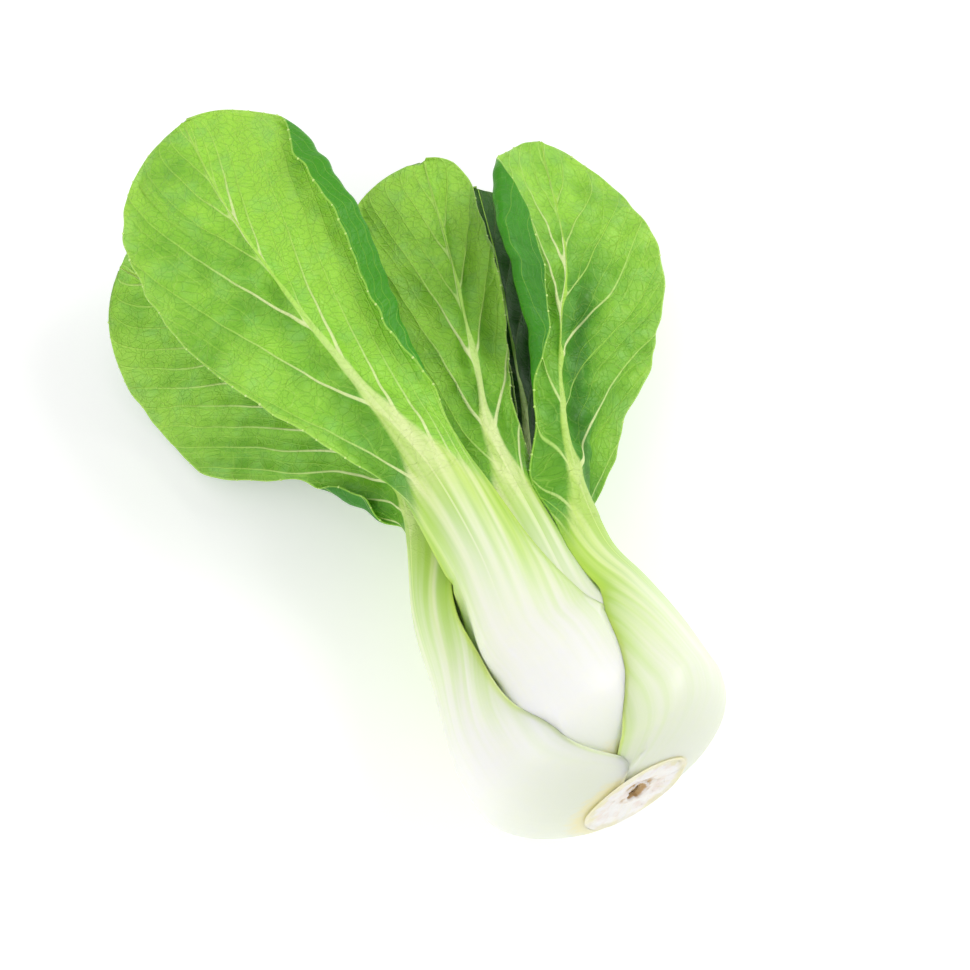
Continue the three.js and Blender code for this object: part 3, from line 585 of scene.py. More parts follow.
def tuck(leaf, ceilings):
    """Presses a stalk in under the stalks that cover it, and keeps it off the stem."""
    angle, radius, reach = polar_of(leaf.outer)
    back_angle, back_radius, back_reach = polar_of(leaf.inner)
    room = np.full(radius.shape, FAR)
    for ceiling in ceilings:
        room = np.minimum(room, room_under(ceiling, angle, reach))
    room = room + PARTING_SLOPE * np.maximum(0, reach - STALKS_PART_AT) + SINKS_IN
    share_of_stalk = 1 - smooth(leaf.neck - 0.02, leaf.neck + 0.08, leaf.share)[:, None]
    pressed = radius + (np.minimum(radius, room) - radius) * share_of_stalk
    thickness = np.linalg.norm(leaf.outer - leaf.inner, axis=-1)
    back = np.minimum(back_radius, np.maximum(pressed - thickness, pressed * 0.5))
    back = np.where(pressed < radius - 1e-6, back, back_radius)
    near_stem = back_reach < STEM_REACH[-1]
    back = np.where(near_stem, np.maximum(back, stem_radius(back_reach) + STEM_CLEARANCE), back)
    pressed = np.where(near_stem, np.maximum(pressed, back + MARGIN_THICKNESS), pressed)
    stalk = (share_of_stalk > 0)[..., None]
    leaf.outer = np.where(stalk, from_polar(angle, pressed, reach), leaf.outer)
    leaf.inner = np.where(stalk, from_polar(back_angle, back, back_reach), leaf.inner)


def normals_of(grid):
    across = np.gradient(grid, axis=1)
    along = np.gradient(grid, axis=0)
    return unit(np.cross(across, along))


def add_relief(leaf):
    """Raises the strands on the outer face, sinks them in the inner one, and puckers the blade."""
    share, x, s, outer, inner = leaf.share, leaf.x, leaf.s, leaf.outer, leaf.inner
    number, spacing, width, branch, twig = leaf.veins
    away = np.abs((number + 0.5) % 1 - 0.5) * spacing
    apart = smooth(3, 7, spacing)
    ridge = np.exp(-(away / (0.5 * width + 0.45)) ** 2) * np.clip(width, 0, 1) * (0.3 + 0.7 * apart)
    for finer in (branch, twig):
        beside = np.abs((finer + 0.5) % 1 - 0.5) * spacing
        ridge = np.maximum(ridge, 0.3 * np.exp(-(beside / 0.45) ** 2) * np.clip(3 * width, 0, 1) * apart)
    in_blade = smooth(-4, 18, s) * smooth(1, 0.9, np.abs(leaf.sides))[None]
    in_blade = in_blade * smooth(0.4, 1.6, np.abs(x) / leaf.pale_half(share)[:, None])
    for i, side in enumerate((-1, 1)):
        fold = (leaf.half(share, side) - leaf.roll(share, i))[:, None]
        rolled = (leaf.roll(share, i) > 0.5)[:, None]
        in_blade = in_blade * (1 - 0.85 * smooth(-1, 2, side * x - fold) * rolled)
    quilt = 1 - np.exp(-(away / 2.8) ** 2)
    quilt = -QUILT_DEPTH * quilt * in_blade * np.clip(width * 1.5, 0.4, 1) * apart
    pucker = quilt + in_blade * ripples(leaf, PUFFS)
    normal = normals_of(outer)
    if ((outer - inner) * normal).sum(-1).mean() < 0:
        normal = -normal
    outer = outer + normal * (STRAND_HEIGHT * ridge * in_blade + pucker)[..., None]
    inner = inner + normal * (STRAND_HEIGHT / 2 * ridge * in_blade + pucker)[..., None]
    outer[..., 2] = np.maximum(outer[..., 2], 0)
    inner[..., 2] = np.maximum(inner[..., 2], MARGIN_THICKNESS)
    leaf.outer, leaf.inner = outer, inner


def shares_of(leaf):
    """Rows from base to tip: close in the blade and near both ends, wider along the stalk."""
    pitch = leaf.spec["pitch"]
    stalk = leaf.neck * leaf.length
    blade = leaf.length - stalk
    base = np.linspace(0, FOOT_LENGTH, FOOT_ROWS, endpoint=False)
    rows = int((stalk - FOOT_LENGTH) / (pitch * 2.2))
    rest = np.linspace(FOOT_LENGTH, stalk, rows, endpoint=False)
    up = np.linspace(0, 1, int(blade / pitch))
    up = np.sin(up * math.pi / 2) * 0.35 + up * 0.65
    return np.concatenate([base, rest, stalk + up * (blade - leaf.length * (1 - TIP))]) / leaf.length


def sides_of(leaf):
    """Columns from side to side, an odd number of them, closer at the margins."""
    u = np.linspace(-1, 1, leaf.spec["columns"] | 1)
    return 0.65 * u + 0.35 * np.sin(u * math.pi / 2)


def quads(index):
    """Corner numbers of the quads of a grid of vertex numbers."""
    return np.stack([index[:-1, :-1], index[:-1, 1:], index[1:, 1:], index[1:, :-1]], -1).reshape(-1, 4)


def mesh_of(name, points, faces):
    """A smooth mesh object with its vertices given in millimetres."""
    mesh = bpy.data.meshes.new(name)
    mesh.vertices.add(len(points))
    mesh.vertices.foreach_set("co", (points * MM).astype(np.float32).ravel())
    corners = np.concatenate([part.ravel() for part in faces])
    sizes = np.concatenate([np.full(len(part), part.shape[1]) for part in faces])
    mesh.loops.add(len(corners))
    mesh.loops.foreach_set("vertex_index", corners.astype(np.int32))
    mesh.polygons.add(len(sizes))
    starts = np.concatenate([[0], np.cumsum(sizes)[:-1]])
    mesh.polygons.foreach_set("loop_start", starts.astype(np.int32))
    mesh.update(calc_edges=True)
    mesh.shade_smooth()
    mesh.validate()
    piece = bpy.data.objects.new(name, mesh)
    bpy.context.scene.collection.objects.link(piece)
    return piece


def put_vectors(mesh, name, columns):
    """Stores three numbers for each vertex under one name."""
    layer = mesh.attributes.new(name, "FLOAT_VECTOR", "POINT")
    layer.data.foreach_set("vector", np.stack(columns, -1).astype(np.float32).ravel())


def leaf_mesh(leaf):
    """One closed leaf with a rounded margin."""
    outer, inner = leaf.outer, leaf.inner
    rows, columns = outer.shape[:2]
    rims = []
    for edge, beside in ((0, 1), (-1, -2)):
        rim = (outer[:, edge] + inner[:, edge]) / 2 + unit(outer[:, edge] - outer[:, beside]) * RIM_BULGE
        rim[:, 2] = np.maximum(rim[:, 2], 0)
        rims.append(rim)
    points = np.concatenate([outer.reshape(-1, 3), inner.reshape(-1, 3), *rims])
    front = np.arange(rows * columns).reshape(rows, columns)
    back = front + rows * columns
    left_rim = 2 * rows * columns + np.arange(rows)[:, None]
    front_wide, back_wide = (np.concatenate([left_rim, face, left_rim + rows], 1) for face in (front, back))
    outward = normals_of(outer)
    flip = ((outer - inner) * outward).sum(-1).mean() < 0
    front_faces, back_faces = quads(front_wide), quads(back_wide)[:, ::-1]
    ends = [np.stack([front_wide[row, :-1], back_wide[row, :-1],
                      back_wide[row, 1:], front_wide[row, 1:]], -1) for row in (0, -1)]
    ends[1] = ends[1][:, ::-1]
    corner_ends = [list(dict.fromkeys(part[i].tolist())) for part in ends for i in (0, -1)]
    faces = [front_faces, back_faces, *(part[1:-1] for part in ends), np.array(corner_ends)]
    if flip:
        faces = [part[:, ::-1] for part in faces]
    piece = mesh_of(leaf.name, points, faces)
    map_leaf(leaf, piece.data, len(front_faces))
    store_places(leaf, piece.data)
    return piece


def map_leaf(leaf, mesh, front_count):
    """Maps the outer and the inner face flat, side by side."""
    scale = 0.98 / leaf.length
    uv = []
    for centre in (0.26, 0.74):
        up = 0.01 + (leaf.s + leaf.neck * leaf.length) * scale
        flat = np.stack([centre + leaf.x * scale, up], -1)
        rim_left = flat[:, 0] - [0.5 * scale, 0]
        rim_right = flat[:, -1] + [0.5 * scale, 0]
        uv.append(np.concatenate([flat.reshape(-1, 2), flat.reshape(-1, 2), rim_left, rim_right]))
    corners = np.zeros(len(mesh.loops), np.int32)
    mesh.loops.foreach_get("vertex_index", corners)
    sizes = np.zeros(len(mesh.polygons), np.int32)
    mesh.polygons.foreach_get("loop_total", sizes)
    on_back = np.repeat(np.arange(len(mesh.polygons)) >= front_count, sizes)
    layer = mesh.uv_layers.new(name="OFBake")
    flat = np.where(on_back[:, None], uv[1][corners], uv[0][corners])
    layer.uv.foreach_set("vector", flat.astype(np.float32).ravel())


def store_places(leaf, mesh):
    """Stores what the leaf's finish reads at each of its points."""
    share, sides, x, s = leaf.share, leaf.sides, leaf.x, leaf.s
    number, spacing, width, branch, twig = leaf.veins
    _, _, reach = polar_of(leaf.outer)
    pale = np.abs(x) / leaf.pale_half(share)[:, None]
    # Painted light and shade: tones darken one side and lighten the other, and trough lays a band of
    # painted shade beside the middle.
    left, right = leaf.spec["side_shading"]
    tone = leaf.spec["tone"] + left + (right - left) * smooth(-4, 4, x)
    shading_band, aside, half, until = leaf.spec["shading_band"]
    lower = smooth(-5, 15, s) * smooth(until, until - 26, s)
    tone = tone + shading_band * np.exp(-((x - aside) / half) ** 2) * lower
    edge = (1 - np.abs(sides[None])) * leaf.halves(share, sides)
    one = np.ones_like(x)
    past_yellow = (share[:, None] * leaf.length * one - leaf.spec["yellow_to"]) / leaf.spec["yellow_over"]
    stored = {
        "place": (x, s, sides[None] * one), "veins": (number, spacing, width),
        "forks": (branch, twig, leaf.spec["core"] * one), "zone": (pale, one, tone),
        "rim": (edge, past_yellow, reach),
    }
    for key, values in stored.items():
        columns = []
        for front in values:
            back = 0 * one if front is one else front
            rims = [(front[:, i] + back[:, i]) / 2 for i in (0, -1)]
            columns.append(np.concatenate([front.ravel(), back.ravel(), *rims]))
        put_vectors(mesh, key, columns)


class Value:
    """A number, vector or colour in a tree of nodes. Sums and products of it add nodes."""

    def __init__(self, tree, socket):
        self.tree = tree
        self.socket = socket

    def __add__(self, other):
        return self.tree.math("ADD", self, other)

    def __sub__(self, other):
        return self.tree.math("SUBTRACT", self, other)

    def __rsub__(self, other):
        return self.tree.math("SUBTRACT", other, self)

    def __mul__(self, other):
        return self.tree.math("MULTIPLY", self, other)

    def __pow__(self, other):
        return self.tree.math("POWER", self, other)

    def __abs__(self):
        return self.tree.math("ABSOLUTE", self)


class Tree:
    """Adds nodes to a tree and joins them. An input is a Value, a socket or a plain value."""

    def __init__(self, tree):
        self.tree = tree

    def node(self, kind, inputs=None, **settings):
        made = self.tree.nodes.new(kind)
        for key, value in settings.items():
            setattr(made, key, value)
        for key, value in (inputs or {}).items():
            self.put(made.inputs[key], value)
        return made

    def value(self, kind, inputs=None, output=0, **settings):
        return Value(self, self.node(kind, inputs, **settings).outputs[output])

    def put(self, socket, value):
        if isinstance(value, Value):
            value = value.socket
        if isinstance(value, bpy.types.NodeSocket):
            self.tree.links.new(value, socket)
        else:
            socket.default_value = value

    def math(self, operation, a, b=0.0, c=0.0, clamp=False):
        return self.value("ShaderNodeMath", {0: a, 1: b, 2: c}, operation=operation, use_clamp=clamp)

    def ease(self, value, low, high, start=0.0, end=1.0):
        """Eases from start to end as value goes from low to high."""
        return self.value("ShaderNodeMapRange", {
            "Value": value, "From Min": low, "From Max": high, "To Min": start, "To Max": end},
            interpolation_type="SMOOTHSTEP")

    def mix(self, share, a, b):
        return self.value("ShaderNodeMix", {"Factor": share, 6: a, 7: b}, output=2, data_type="RGBA")

    def parts(self, name):
        """The three numbers of an attribute."""
        vector = self.value("ShaderNodeAttribute", output="Vector", attribute_name=name)
        return [Value(self, part) for part in self.node("ShaderNodeSeparateXYZ", {0: vector}).outputs]

    def vector(self, x, y, z=0.0):
        return self.value("ShaderNodeCombineXYZ", {0: x, 1: y, 2: z})

    def noise(self, vector, scale, detail=2.0, roughness=0.5):
        return self.value("ShaderNodeTexNoise", {
            "Vector": vector, "Scale": scale, "Detail": detail, "Roughness": roughness})

    def cells(self, vector, scale):
        """Distance to the nearest cell wall."""
        return self.value("ShaderNodeTexVoronoi", {"Vector": vector, "Scale": scale},
                          feature="DISTANCE_TO_EDGE", voronoi_dimensions="2D")

    def spot(self):
        return self.value("ShaderNodeTexCoord", output="Object")

    def bump(self, height, strength):
        return self.value("ShaderNodeBump", {"Height": height, "Distance": MM, "Strength": strength})

    def finish(self, **inputs):
        """Ends the tree with a surface. In the inputs' names, spaces are written as underscores."""
        names = {key.replace("_", " "): value for key, value in inputs.items()}
        shader = self.node("ShaderNodeBsdfPrincipled", names)
        self.node("ShaderNodeOutputMaterial", {"Surface": shader.outputs[0]})


def colour(red, green, blue):
    """A colour as a screen shows it, 0 to 255, turned into light."""
    def light(value):
        value /= 255
        return value / 12.92 if value <= 0.04045 else ((value + 0.055) / 1.055) ** 2.4
    return light(red), light(green), light(blue), 1.0


def new_material(name):
    material = bpy.data.materials.new(name)
    material.use_nodes = True
    material.node_tree.nodes.clear()
    return material, Tree(material.node_tree)


def leaf_material(settings):
    material, t = new_material("leaf_tissue")
    x, s, side = t.parts("place")
    number, spacing, width = t.parts("veins")
    branch, twig, whiteness = t.parts("forks")
    pale_ratio, outer, tone = t.parts("zone")
    edge, past_yellow, reach = t.parts("rim")
    flat = t.vector(x, s)

    def beside(count):
        """Signed distance to the nearest line where the count is whole."""
        return (t.math("FRACT", count + 100.5) - 0.5) * spacing

    # Strands: a line wherever the strand number is whole.
    off_strand = beside(number)
    beyond = abs(off_strand) - width * (outer * 0.19 + 0.05)
    shown = t.ease(width, 0.05, 0.3) * t.ease(s, -8, 4)
    strand = t.ease(beyond, 0.14, -0.1) * shown
    roomy = t.ease(spacing, 3, 7)
    # Painted shade: a dark band on the base side of each strand, as if the raised strand shaded it.
    vein_shade = t.ease(off_strand, -1.7, -0.2) * t.ease(off_strand, 0.2, -0.2) * shown * roomy
    fine = t.math("MAXIMUM", t.ease(abs(beside(branch)), 0.3, 0.08), t.ease(abs(beside(twig)), 0.24, 0.06))
    fine = fine * (shown * roomy)

    # A net of finer veins between the strands.
    wander = (t.noise(flat, 0.16, 1) - 0.5) * 7
    bent = t.vector(x + wander, s - wander)
    wide_net = t.ease(t.cells(bent, 0.21), 0.05, 0)
    net = t.ease(t.cells(bent, 0.52), 0.09, 0)
    fine_net = t.ease(t.cells(flat, 1.25), 0.16, 0)

    in_blade = t.ease(s, -14, 6)
    ragged = (t.noise(t.vector(x * 0.9, s * 0.05), 1) - 0.5) * 0.5
    pale = t.ease(pale_ratio + ragged, 1.25, 0.75)

    # Green of the blade.
    patches = t.noise(flat, 0.06, 3, 0.6)
    # The depth of green: random patches, the leaf's tone with the painted shade it carries, and the place
    # along the blade.
    deep = patches * 1.6 + (tone - 0.84) + t.ease(s, 55, 5, 0, 0.35)
    deep = t.math("SUBTRACT", deep, t.ease(s, 60, 112, 0, 0.3), clamp=True)
    under = t.mix(deep, settings.under_light, settings.under_deep)
    upper = t.mix(deep, settings.upper_light, settings.upper_deep)
    green = t.mix(outer, upper, under)
    # Painted sheen: pale cool patches on the outer face stand in for soft reflections.
    sheen_patches = t.ease(t.noise(flat, 0.13, 2, 0.6), 0.45, 0.75, 0, 0.45)
    green = t.mix(sheen_patches * outer, green, settings.mist)
    seen = outer * 0.7 + 0.15
    # The lines of the net and the fine net follow the fine veins; their darker green is painted shade along
    # them.
    green = t.mix((net * 0.26 + fine_net * 0.14) * seen, green, settings.under_deep)
    green = t.mix(wide_net * (seen * 0.26), green, settings.net)
    # The painted shade beside the strands.
    green = t.mix(vein_shade * (outer * 0.2), green, settings.under_deep)
    green = t.mix(fine * (outer * 0.24 + 0.03), green, settings.vein_far)
    vein = t.mix(t.ease(width, 0.5, 1.3), settings.vein_far, settings.vein_near)
    green = t.mix(strand * t.ease(width, 0.3, 1.4, 0.5, 0.92), green, vein)
    # Painted shade: a place whose tone passes 0.95, such as the middle leaves, turns to the dark green of
    # the shade deep inside the head.
    green = t.mix(t.ease(tone, 0.95, 1.3, 0, 0.93), green, settings.heart)

    # The stalk: white at the bulb, yellow-green at the neck, with streaks along it.
    streaks = t.ease(t.noise(t.vector(x * 0.34, s * 0.012), 1, 2, 0.6), 0.22, 0.78)
    aside = abs(side)
    greening = t.ease(s + (aside ** 3 * 26 + (streaks - 0.5) * 12), -82, 6) ** 1.25
    bands = t.mix(streaks, settings.neck_light, settings.neck_deep)
    bands = t.mix(t.ease(aside, 0.55, 0.98) * 0.55, bands, settings.neck_rim)
    # The whiter middle of the stalk is partly its pale rib and partly a painted highlight.
    core = t.ease(aside, 0.6, 0.1) * t.ease(s, 8, -26, 0.12, 0.8) * whiteness
    bands = t.mix(core, bands, settings.core)
    valley = t.ease(beyond, 0.1, 1.3) * t.ease(s, -55, 4, 0, 0.8)
    bands = t.mix(valley, bands, settings.neck_rim)
    # Painted shade: the stalks turn greyer and creamier towards the cut, darkening the bulb's lower
    # contour.
    white = t.mix(t.ease(reach, 24, -4, 0, 0.75), settings.bulb, settings.cream)
    inner_stalk = t.mix(t.ease(s, -90, -20), settings.bulb, settings.inner_stalk)
    stalk = t.mix(outer, inner_stalk, t.mix(greening, white, bands))
    rib = t.mix(t.ease(s, 0, 75), settings.neck_light, settings.vein_far)
    rib = t.mix(t.ease(whiteness, 1, 0.3, 0, 0.6), rib, settings.neck_rim)
    stalk = t.mix(in_blade, stalk, t.mix(streaks, rib, bands))
    stalk = t.mix(t.ease(s, 16, 50), stalk, rib)

    tissue = t.mix(in_blade * (1 - pale), stalk, green)
    tissue = t.mix(t.ease(edge, 0.35, 0.1) * (in_blade * 0.55), tissue, settings.vein_far)
    # Green along the stalks' margins: partly their own green, partly painted shade in the seams between
    # stalks.
    seam_green_and_shade = t.ease(edge, 1.6, 0.2) * (1 - in_blade) * t.ease(s, -105, -50, 0.2, 0.6)
    tissue = t.mix(seam_green_and_shade, tissue, settings.neck_deep)
    scar = t.ease(past_yellow + t.noise(flat, 0.5, 3), 1.5, 0.5, 0, settings.scar_strength)
    tissue = t.mix(scar, tissue, settings.scar)

    # Relief too fine for the mesh.
    height = (strand * 0.15 + fine * 0.1) * t.ease(pale_ratio, 0.5, 1.5)
    height = height + (net * 0.09 + wide_net * 0.1) * in_blade + fine_net * 0.03 * in_blade
    height = height * (outer * 1.6 - 0.6) + t.noise(flat, 0.26, 2, 0.5) * (in_blade * 0.55)
    height = height + streaks * 0.05 + t.noise(flat, 2.2, 2) * 0.02
    t.finish(Base_Color=tissue, Roughness=patches * 0.16 + in_blade * 0.08 + 0.27,
             Normal=t.bump(height, 0.9), Subsurface_Weight=t.ease(s, -45, 0, 0.85, 0.22),
             Subsurface_Scale=0.0034, Subsurface_Radius=(1, 1, 0.7), Specular_IOR_Level=0.38)
    return material


def bead_material(settings):
    material, t = new_material("margin_bead")
    mixed = t.mix(t.noise(t.spot(), 160, 1), settings.bead, settings.vein_far)
    t.finish(Base_Color=mixed, Roughness=0.3)
    return material


def cut_material(settings):
    """The cut face: pale tissue with a yellowed rim, faint rays and a tan pit."""
    material, t = new_material("cut_tissue")
    radius, turned, depth = t.parts("cut_place")
    cosine, sine = t.math("COSINE", turned), t.math("SINE", turned)
    around = t.vector(cosine * radius, sine * radius, depth)
    blotch = t.noise(around, 0.22, 4, 0.6)
    rays = t.noise(t.vector(cosine * 9, sine * 9, radius * 0.12), 1, 3)
    tissue = t.mix(t.ease(blotch, 0.42, 0.68), settings.cut_face, settings.cut_blush)
    tissue = t.mix(t.ease(rays, 0.5, 0.7) * 0.25, tissue, settings.cut_rim)
    broken = t.ease(t.noise(t.vector(cosine, sine), 1.3, 3), 0.3, 0.65, 0.15, 1)
    tissue = t.mix(t.ease(radius + blotch * 5, 13.6, 16) * broken, tissue, settings.cut_rim)
    tissue = t.mix(t.ease(radius + blotch * 2, 6, 3.4) * 0.4, tissue, settings.cut_blush)
    in_pit = t.ease(depth + t.noise(around, 0.9, 3) * 0.5, 0.5, 1) * t.ease(radius, 6, 4)
    tissue = t.mix(in_pit, tissue, settings.pit)
    tissue = t.mix(in_pit * t.ease(t.noise(around, 1.4, 3), 0.62, 0.8), tissue, settings.pit_dark)
    height = blotch * 0.5 + rays * 0.2 + t.noise(around, 2.5, 3) * 0.12
    t.finish(Base_Color=tissue, Roughness=t.ease(blotch, 0.2, 0.8, 0.45, 0.65),
             Normal=t.bump(height, 0.8), Subsurface_Weight=0.3, Subsurface_Scale=0.002,
             Subsurface_Radius=(1, 0.9, 0.7))
    return material


def floor_material(settings):
    material, t = new_material("pale_floor")
    tint = t.mix(t.noise(t.spot(), 3, 2), settings.floor, tuple(c * 0.995 for c in settings.floor))
    t.finish(Base_Color=tint, Roughness=0.9, Specular_IOR_Level=0.1, Emission_Color=(1, 1, 1, 1),
             Emission_Strength=settings.floor_glow)
    return material


def geometry_tree(name, inputs):
    """A new Geometry Nodes tree, with a node for its inputs and one for its result."""
    tree = bpy.data.node_groups.new(name, "GeometryNodeTree")
    tree.interface.new_socket("Geometry", in_out="INPUT", socket_type="NodeSocketGeometry")
    for label, kind, default in inputs:
        socket = tree.interface.new_socket(label, in_out="INPUT", socket_type=kind)
        if default is not None:
            socket.default_value = default
    tree.interface.new_socket("Geometry", in_out="OUTPUT", socket_type="NodeSocketGeometry")
    t = Tree(tree)
    return t, t.node("NodeGroupInput").outputs, t.node("NodeGroupOutput").inputs


def grown_by(tree, source, name, values):
    """The plain mesh that the tree grows from a source mesh, with its inputs set by identifier."""
    holder = bpy.data.objects.new(name + "_source", source)
    bpy.context.scene.collection.objects.link(holder)
    modifier = holder.modifiers.new(name, "NODES")
    modifier.node_group = tree
    places = {item.name: item.identifier for item in tree.interface.items_tree
              if getattr(item, "in_out", "") == "INPUT"}
    for label, value in values.items():
        modifier[places[label]] = value
    bpy.context.view_layer.update()
    evaluated = holder.evaluated_get(bpy.context.evaluated_depsgraph_get())
    mesh = bpy.data.meshes.new_from_object(evaluated)
    mesh.name = name
    bpy.data.objects.remove(holder)
    piece = bpy.data.objects.new(name, mesh)
    bpy.context.scene.collection.objects.link(piece)
    return piece


def balls_at(points, t, given, result, sizes, radius, depth=1.0):
    """Ends a tree with a small ball at each point, uneven in size and flattened to the depth."""
    size = t.value("FunctionNodeRandomValue", {2: sizes[0], 3: sizes[1], "Seed": given["Seed"]},
                   output=1, data_type="FLOAT")
    wide = size * given[radius]
    ball = t.value("GeometryNodeMeshIcoSphere", {"Radius": 1.0, "Subdivisions": 1})
    balls = t.value("GeometryNodeInstanceOnPoints", {
        "Points": points, "Instance": ball, "Scale": t.vector(wide, wide * depth, wide)})
    solid = t.value("GeometryNodeRealizeInstances", {0: balls})
    rounded = t.value("GeometryNodeSetShadeSmooth", {0: solid})
    finish = {"Geometry": rounded, "Material": given["Material"]}
    t.put(result[0], t.value("GeometryNodeSetMaterial", finish))
    return t.tree


def bead_tree():
    """Beads along a line of edges, at even steps, of slightly uneven size."""
    t, given, result = geometry_tree("margin_beads", [
        ("Spacing", "NodeSocketFloat", 0.004), ("Bead radius", "NodeSocketFloat", 0.0003),
        ("Unevenness", "NodeSocketFloat", 0.35), ("Seed", "NodeSocketInt", 1),
        ("Material", "NodeSocketMaterial", None)])
    line = t.value("GeometryNodeMeshToCurve", {"Mesh": given["Geometry"]})
    steps = t.value("GeometryNodeResampleCurve", {"Curve": line, "Length": given["Spacing"]}, mode="LENGTH")
    uneven = Value(t, given["Unevenness"])
    return balls_at(steps, t, given, result, (1 - uneven, uneven + 1), "Bead radius")


def fibre_tree():
    """Small fibre ends scattered about a ring."""
    t, given, result = geometry_tree("fibre_ends", [
        ("Fibre radius", "NodeSocketFloat", 0.0004), ("Scatter", "NodeSocketFloat", 0.0006),
        ("Seed", "NodeSocketInt", 3), ("Material", "NodeSocketMaterial", None)])
    points = t.value("GeometryNodeMeshToPoints", {"Mesh": given["Geometry"]})
    most = t.vector(given["Scatter"], 0.0, given["Scatter"])
    least = t.value("ShaderNodeVectorMath", {0: most, 1: (-1.0, -1.0, -1.0)}, operation="MULTIPLY")
    shift = t.value("FunctionNodeRandomValue", {0: least, 1: most, "Seed": given["Seed"]},
                    data_type="FLOAT_VECTOR")
    moved = t.value("GeometryNodeSetPosition", {"Geometry": points, "Offset": shift})
    return balls_at(moved, t, given, result, (0.6, 1.3), "Fibre radius", 0.35)


def edge_mesh(name, lines):
    """A mesh of open lines, in millimetres."""
    points = np.concatenate(lines)
    edges, start = [], 0
    for line in lines:
        edges += [(start + i, start + i + 1) for i in range(len(line) - 1)]
        start += len(line)
    mesh = bpy.data.meshes.new(name)
    mesh.from_pydata((points * MM).tolist(), edges, [])
    return mesh


def finished(piece, slot, *nodes):
    """Fixes a piece to the head's one body, and hides the imported parts that it stands in for. The slot is
    not used.
    """
    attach(piece, "root")
    if nodes:
        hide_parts(*nodes)


class HeadSettings(bpy.types.PropertyGroup):
    """Colours and sizes of the leaves."""


def label_of(key):
    return key.replace("_", " ").capitalize()


COLOURS = {
    "under_light": ("Light green of a blade's underside", (164, 226, 72)),
    "under_deep": ("Deep green of a blade's underside", (68, 144, 14)),
    # Painted sheen that stands in for soft reflections.
    "mist": ("Cooler patches of the outer face", (140, 206, 104)),
    "upper_light": ("Light green of a blade's upper side", (60, 150, 2)),
    "upper_deep": ("Deep green of a blade's upper side", (34, 110, 4)),
    # Painted shade of the middle leaves, which lie deep in the head's shade.
    "heart": ("Dark young leaves at the middle of the head", (30, 84, 12)),
    "net": ("Fine veins between the strands", (188, 232, 104)),
    "vein_far": ("Strands where they reach the margin", (182, 236, 92)),
    "vein_near": ("Strands where they leave the neck", (234, 250, 176)),
    "bulb": ("Stalks in the bulb", (248, 250, 243)),
    # Painted shade of the stalks towards the cut.
    "cream": ("Stalks beside the cut", (218, 225, 200)),
    # Partly the stalk's pale rib, partly a painted highlight.
    "core": ("Whitish middle of a stalk near the neck", (240, 247, 212)),
    "neck_light": ("Pale streaks at the neck", (234, 246, 176)),
    "neck_deep": ("Green streaks at the neck", (196, 232, 84)),
    "neck_rim": ("Sides of a stalk near the neck", (168, 214, 66)),
    "inner_stalk": ("Inner face of a stalk", (176, 212, 96)),
    "scar": ("Yellowed foot of a stalk", (240, 230, 168)),
    "bead": ("Beads along a margin", (232, 244, 170)),
    "cut_face": ("Fresh tissue of the cut", (250, 247, 242)),
    "cut_blush": ("Pinkish patches of the cut", (243, 231, 222)),
    "cut_rim": ("Yellowed rim of the cut", (244, 238, 196)),
    "pit": ("Dried pith", (198, 164, 112)),
    "pit_dark": ("Shrunken pith", (150, 116, 66)),
    "floor": ("Floor under the head", (250, 250, 250)),
}
for key, (description, default) in COLOURS.items():
    HeadSettings.__annotations__[key] = FloatVectorProperty(
        name=label_of(key), description=description, default=colour(*default), size=4, min=0, max=1,
        subtype="COLOR")
NUMBERS = {
    "scar_strength": ("How yellow the foot of each stalk is", 0.75, "NONE"),
    "bead_spacing": ("Distance between beads on a margin", 0.0042, "LENGTH"),
    "bead_radius": ("Radius of a bead on a margin", 0.00032, "LENGTH"),
    "key_power": ("Power of the main soft light", 3.2, "POWER"),
    "fill_power": ("Power of the soft light from the left", 2.4, "POWER"),
    "floor_glow": ("Light given off by the lit table under the head", 0.27, "NONE"),
    "sky": ("Brightness of the white surround", 0.62, "NONE"),
}
for key, (description, default, kind) in NUMBERS.items():
    HeadSettings.__annotations__[key] = FloatProperty(
        name=label_of(key), description=description, default=default, min=0, unit=kind)
HeadSettings.__annotations__["bead_seed"] = IntProperty(
    name="Bead seed", description="Seed of the beads' sizes", default=7)

grown_leaves = []


def grow_leaves():
    """All the leaves, each lowered onto those under it and tucked in under those before it."""
    leaves = [Leaf(name, spec) for name, spec in LEAVES.items()]
    tops = [top_of(leaf) for leaf in leaves]
    ceilings = []
    for number, leaf in enumerate(leaves):
        settle(leaf, tops[number + 1:])
        tuck(leaf, ceilings)
        ceilings.append(ceiling_of(leaf))
        add_relief(leaf)
    return leaves


class GREENS_OT_leaves(bpy.types.Operator):
    """Builds the leaves, each one piece with its stalk and blade"""
    bl_idname = "greens.leaves"
    bl_label = "Leaves"

    def execute(self, context):
        grown_leaves[:] = grow_leaves()
        material = leaf_material(context.scene.bok_choy)
        for leaf in grown_leaves:
            piece = leaf_mesh(leaf)
            piece.data.materials.append(material)
            finished(piece, "blade", leaf.name + "_stalk", leaf.name + "_blade")
        return {"FINISHED"}


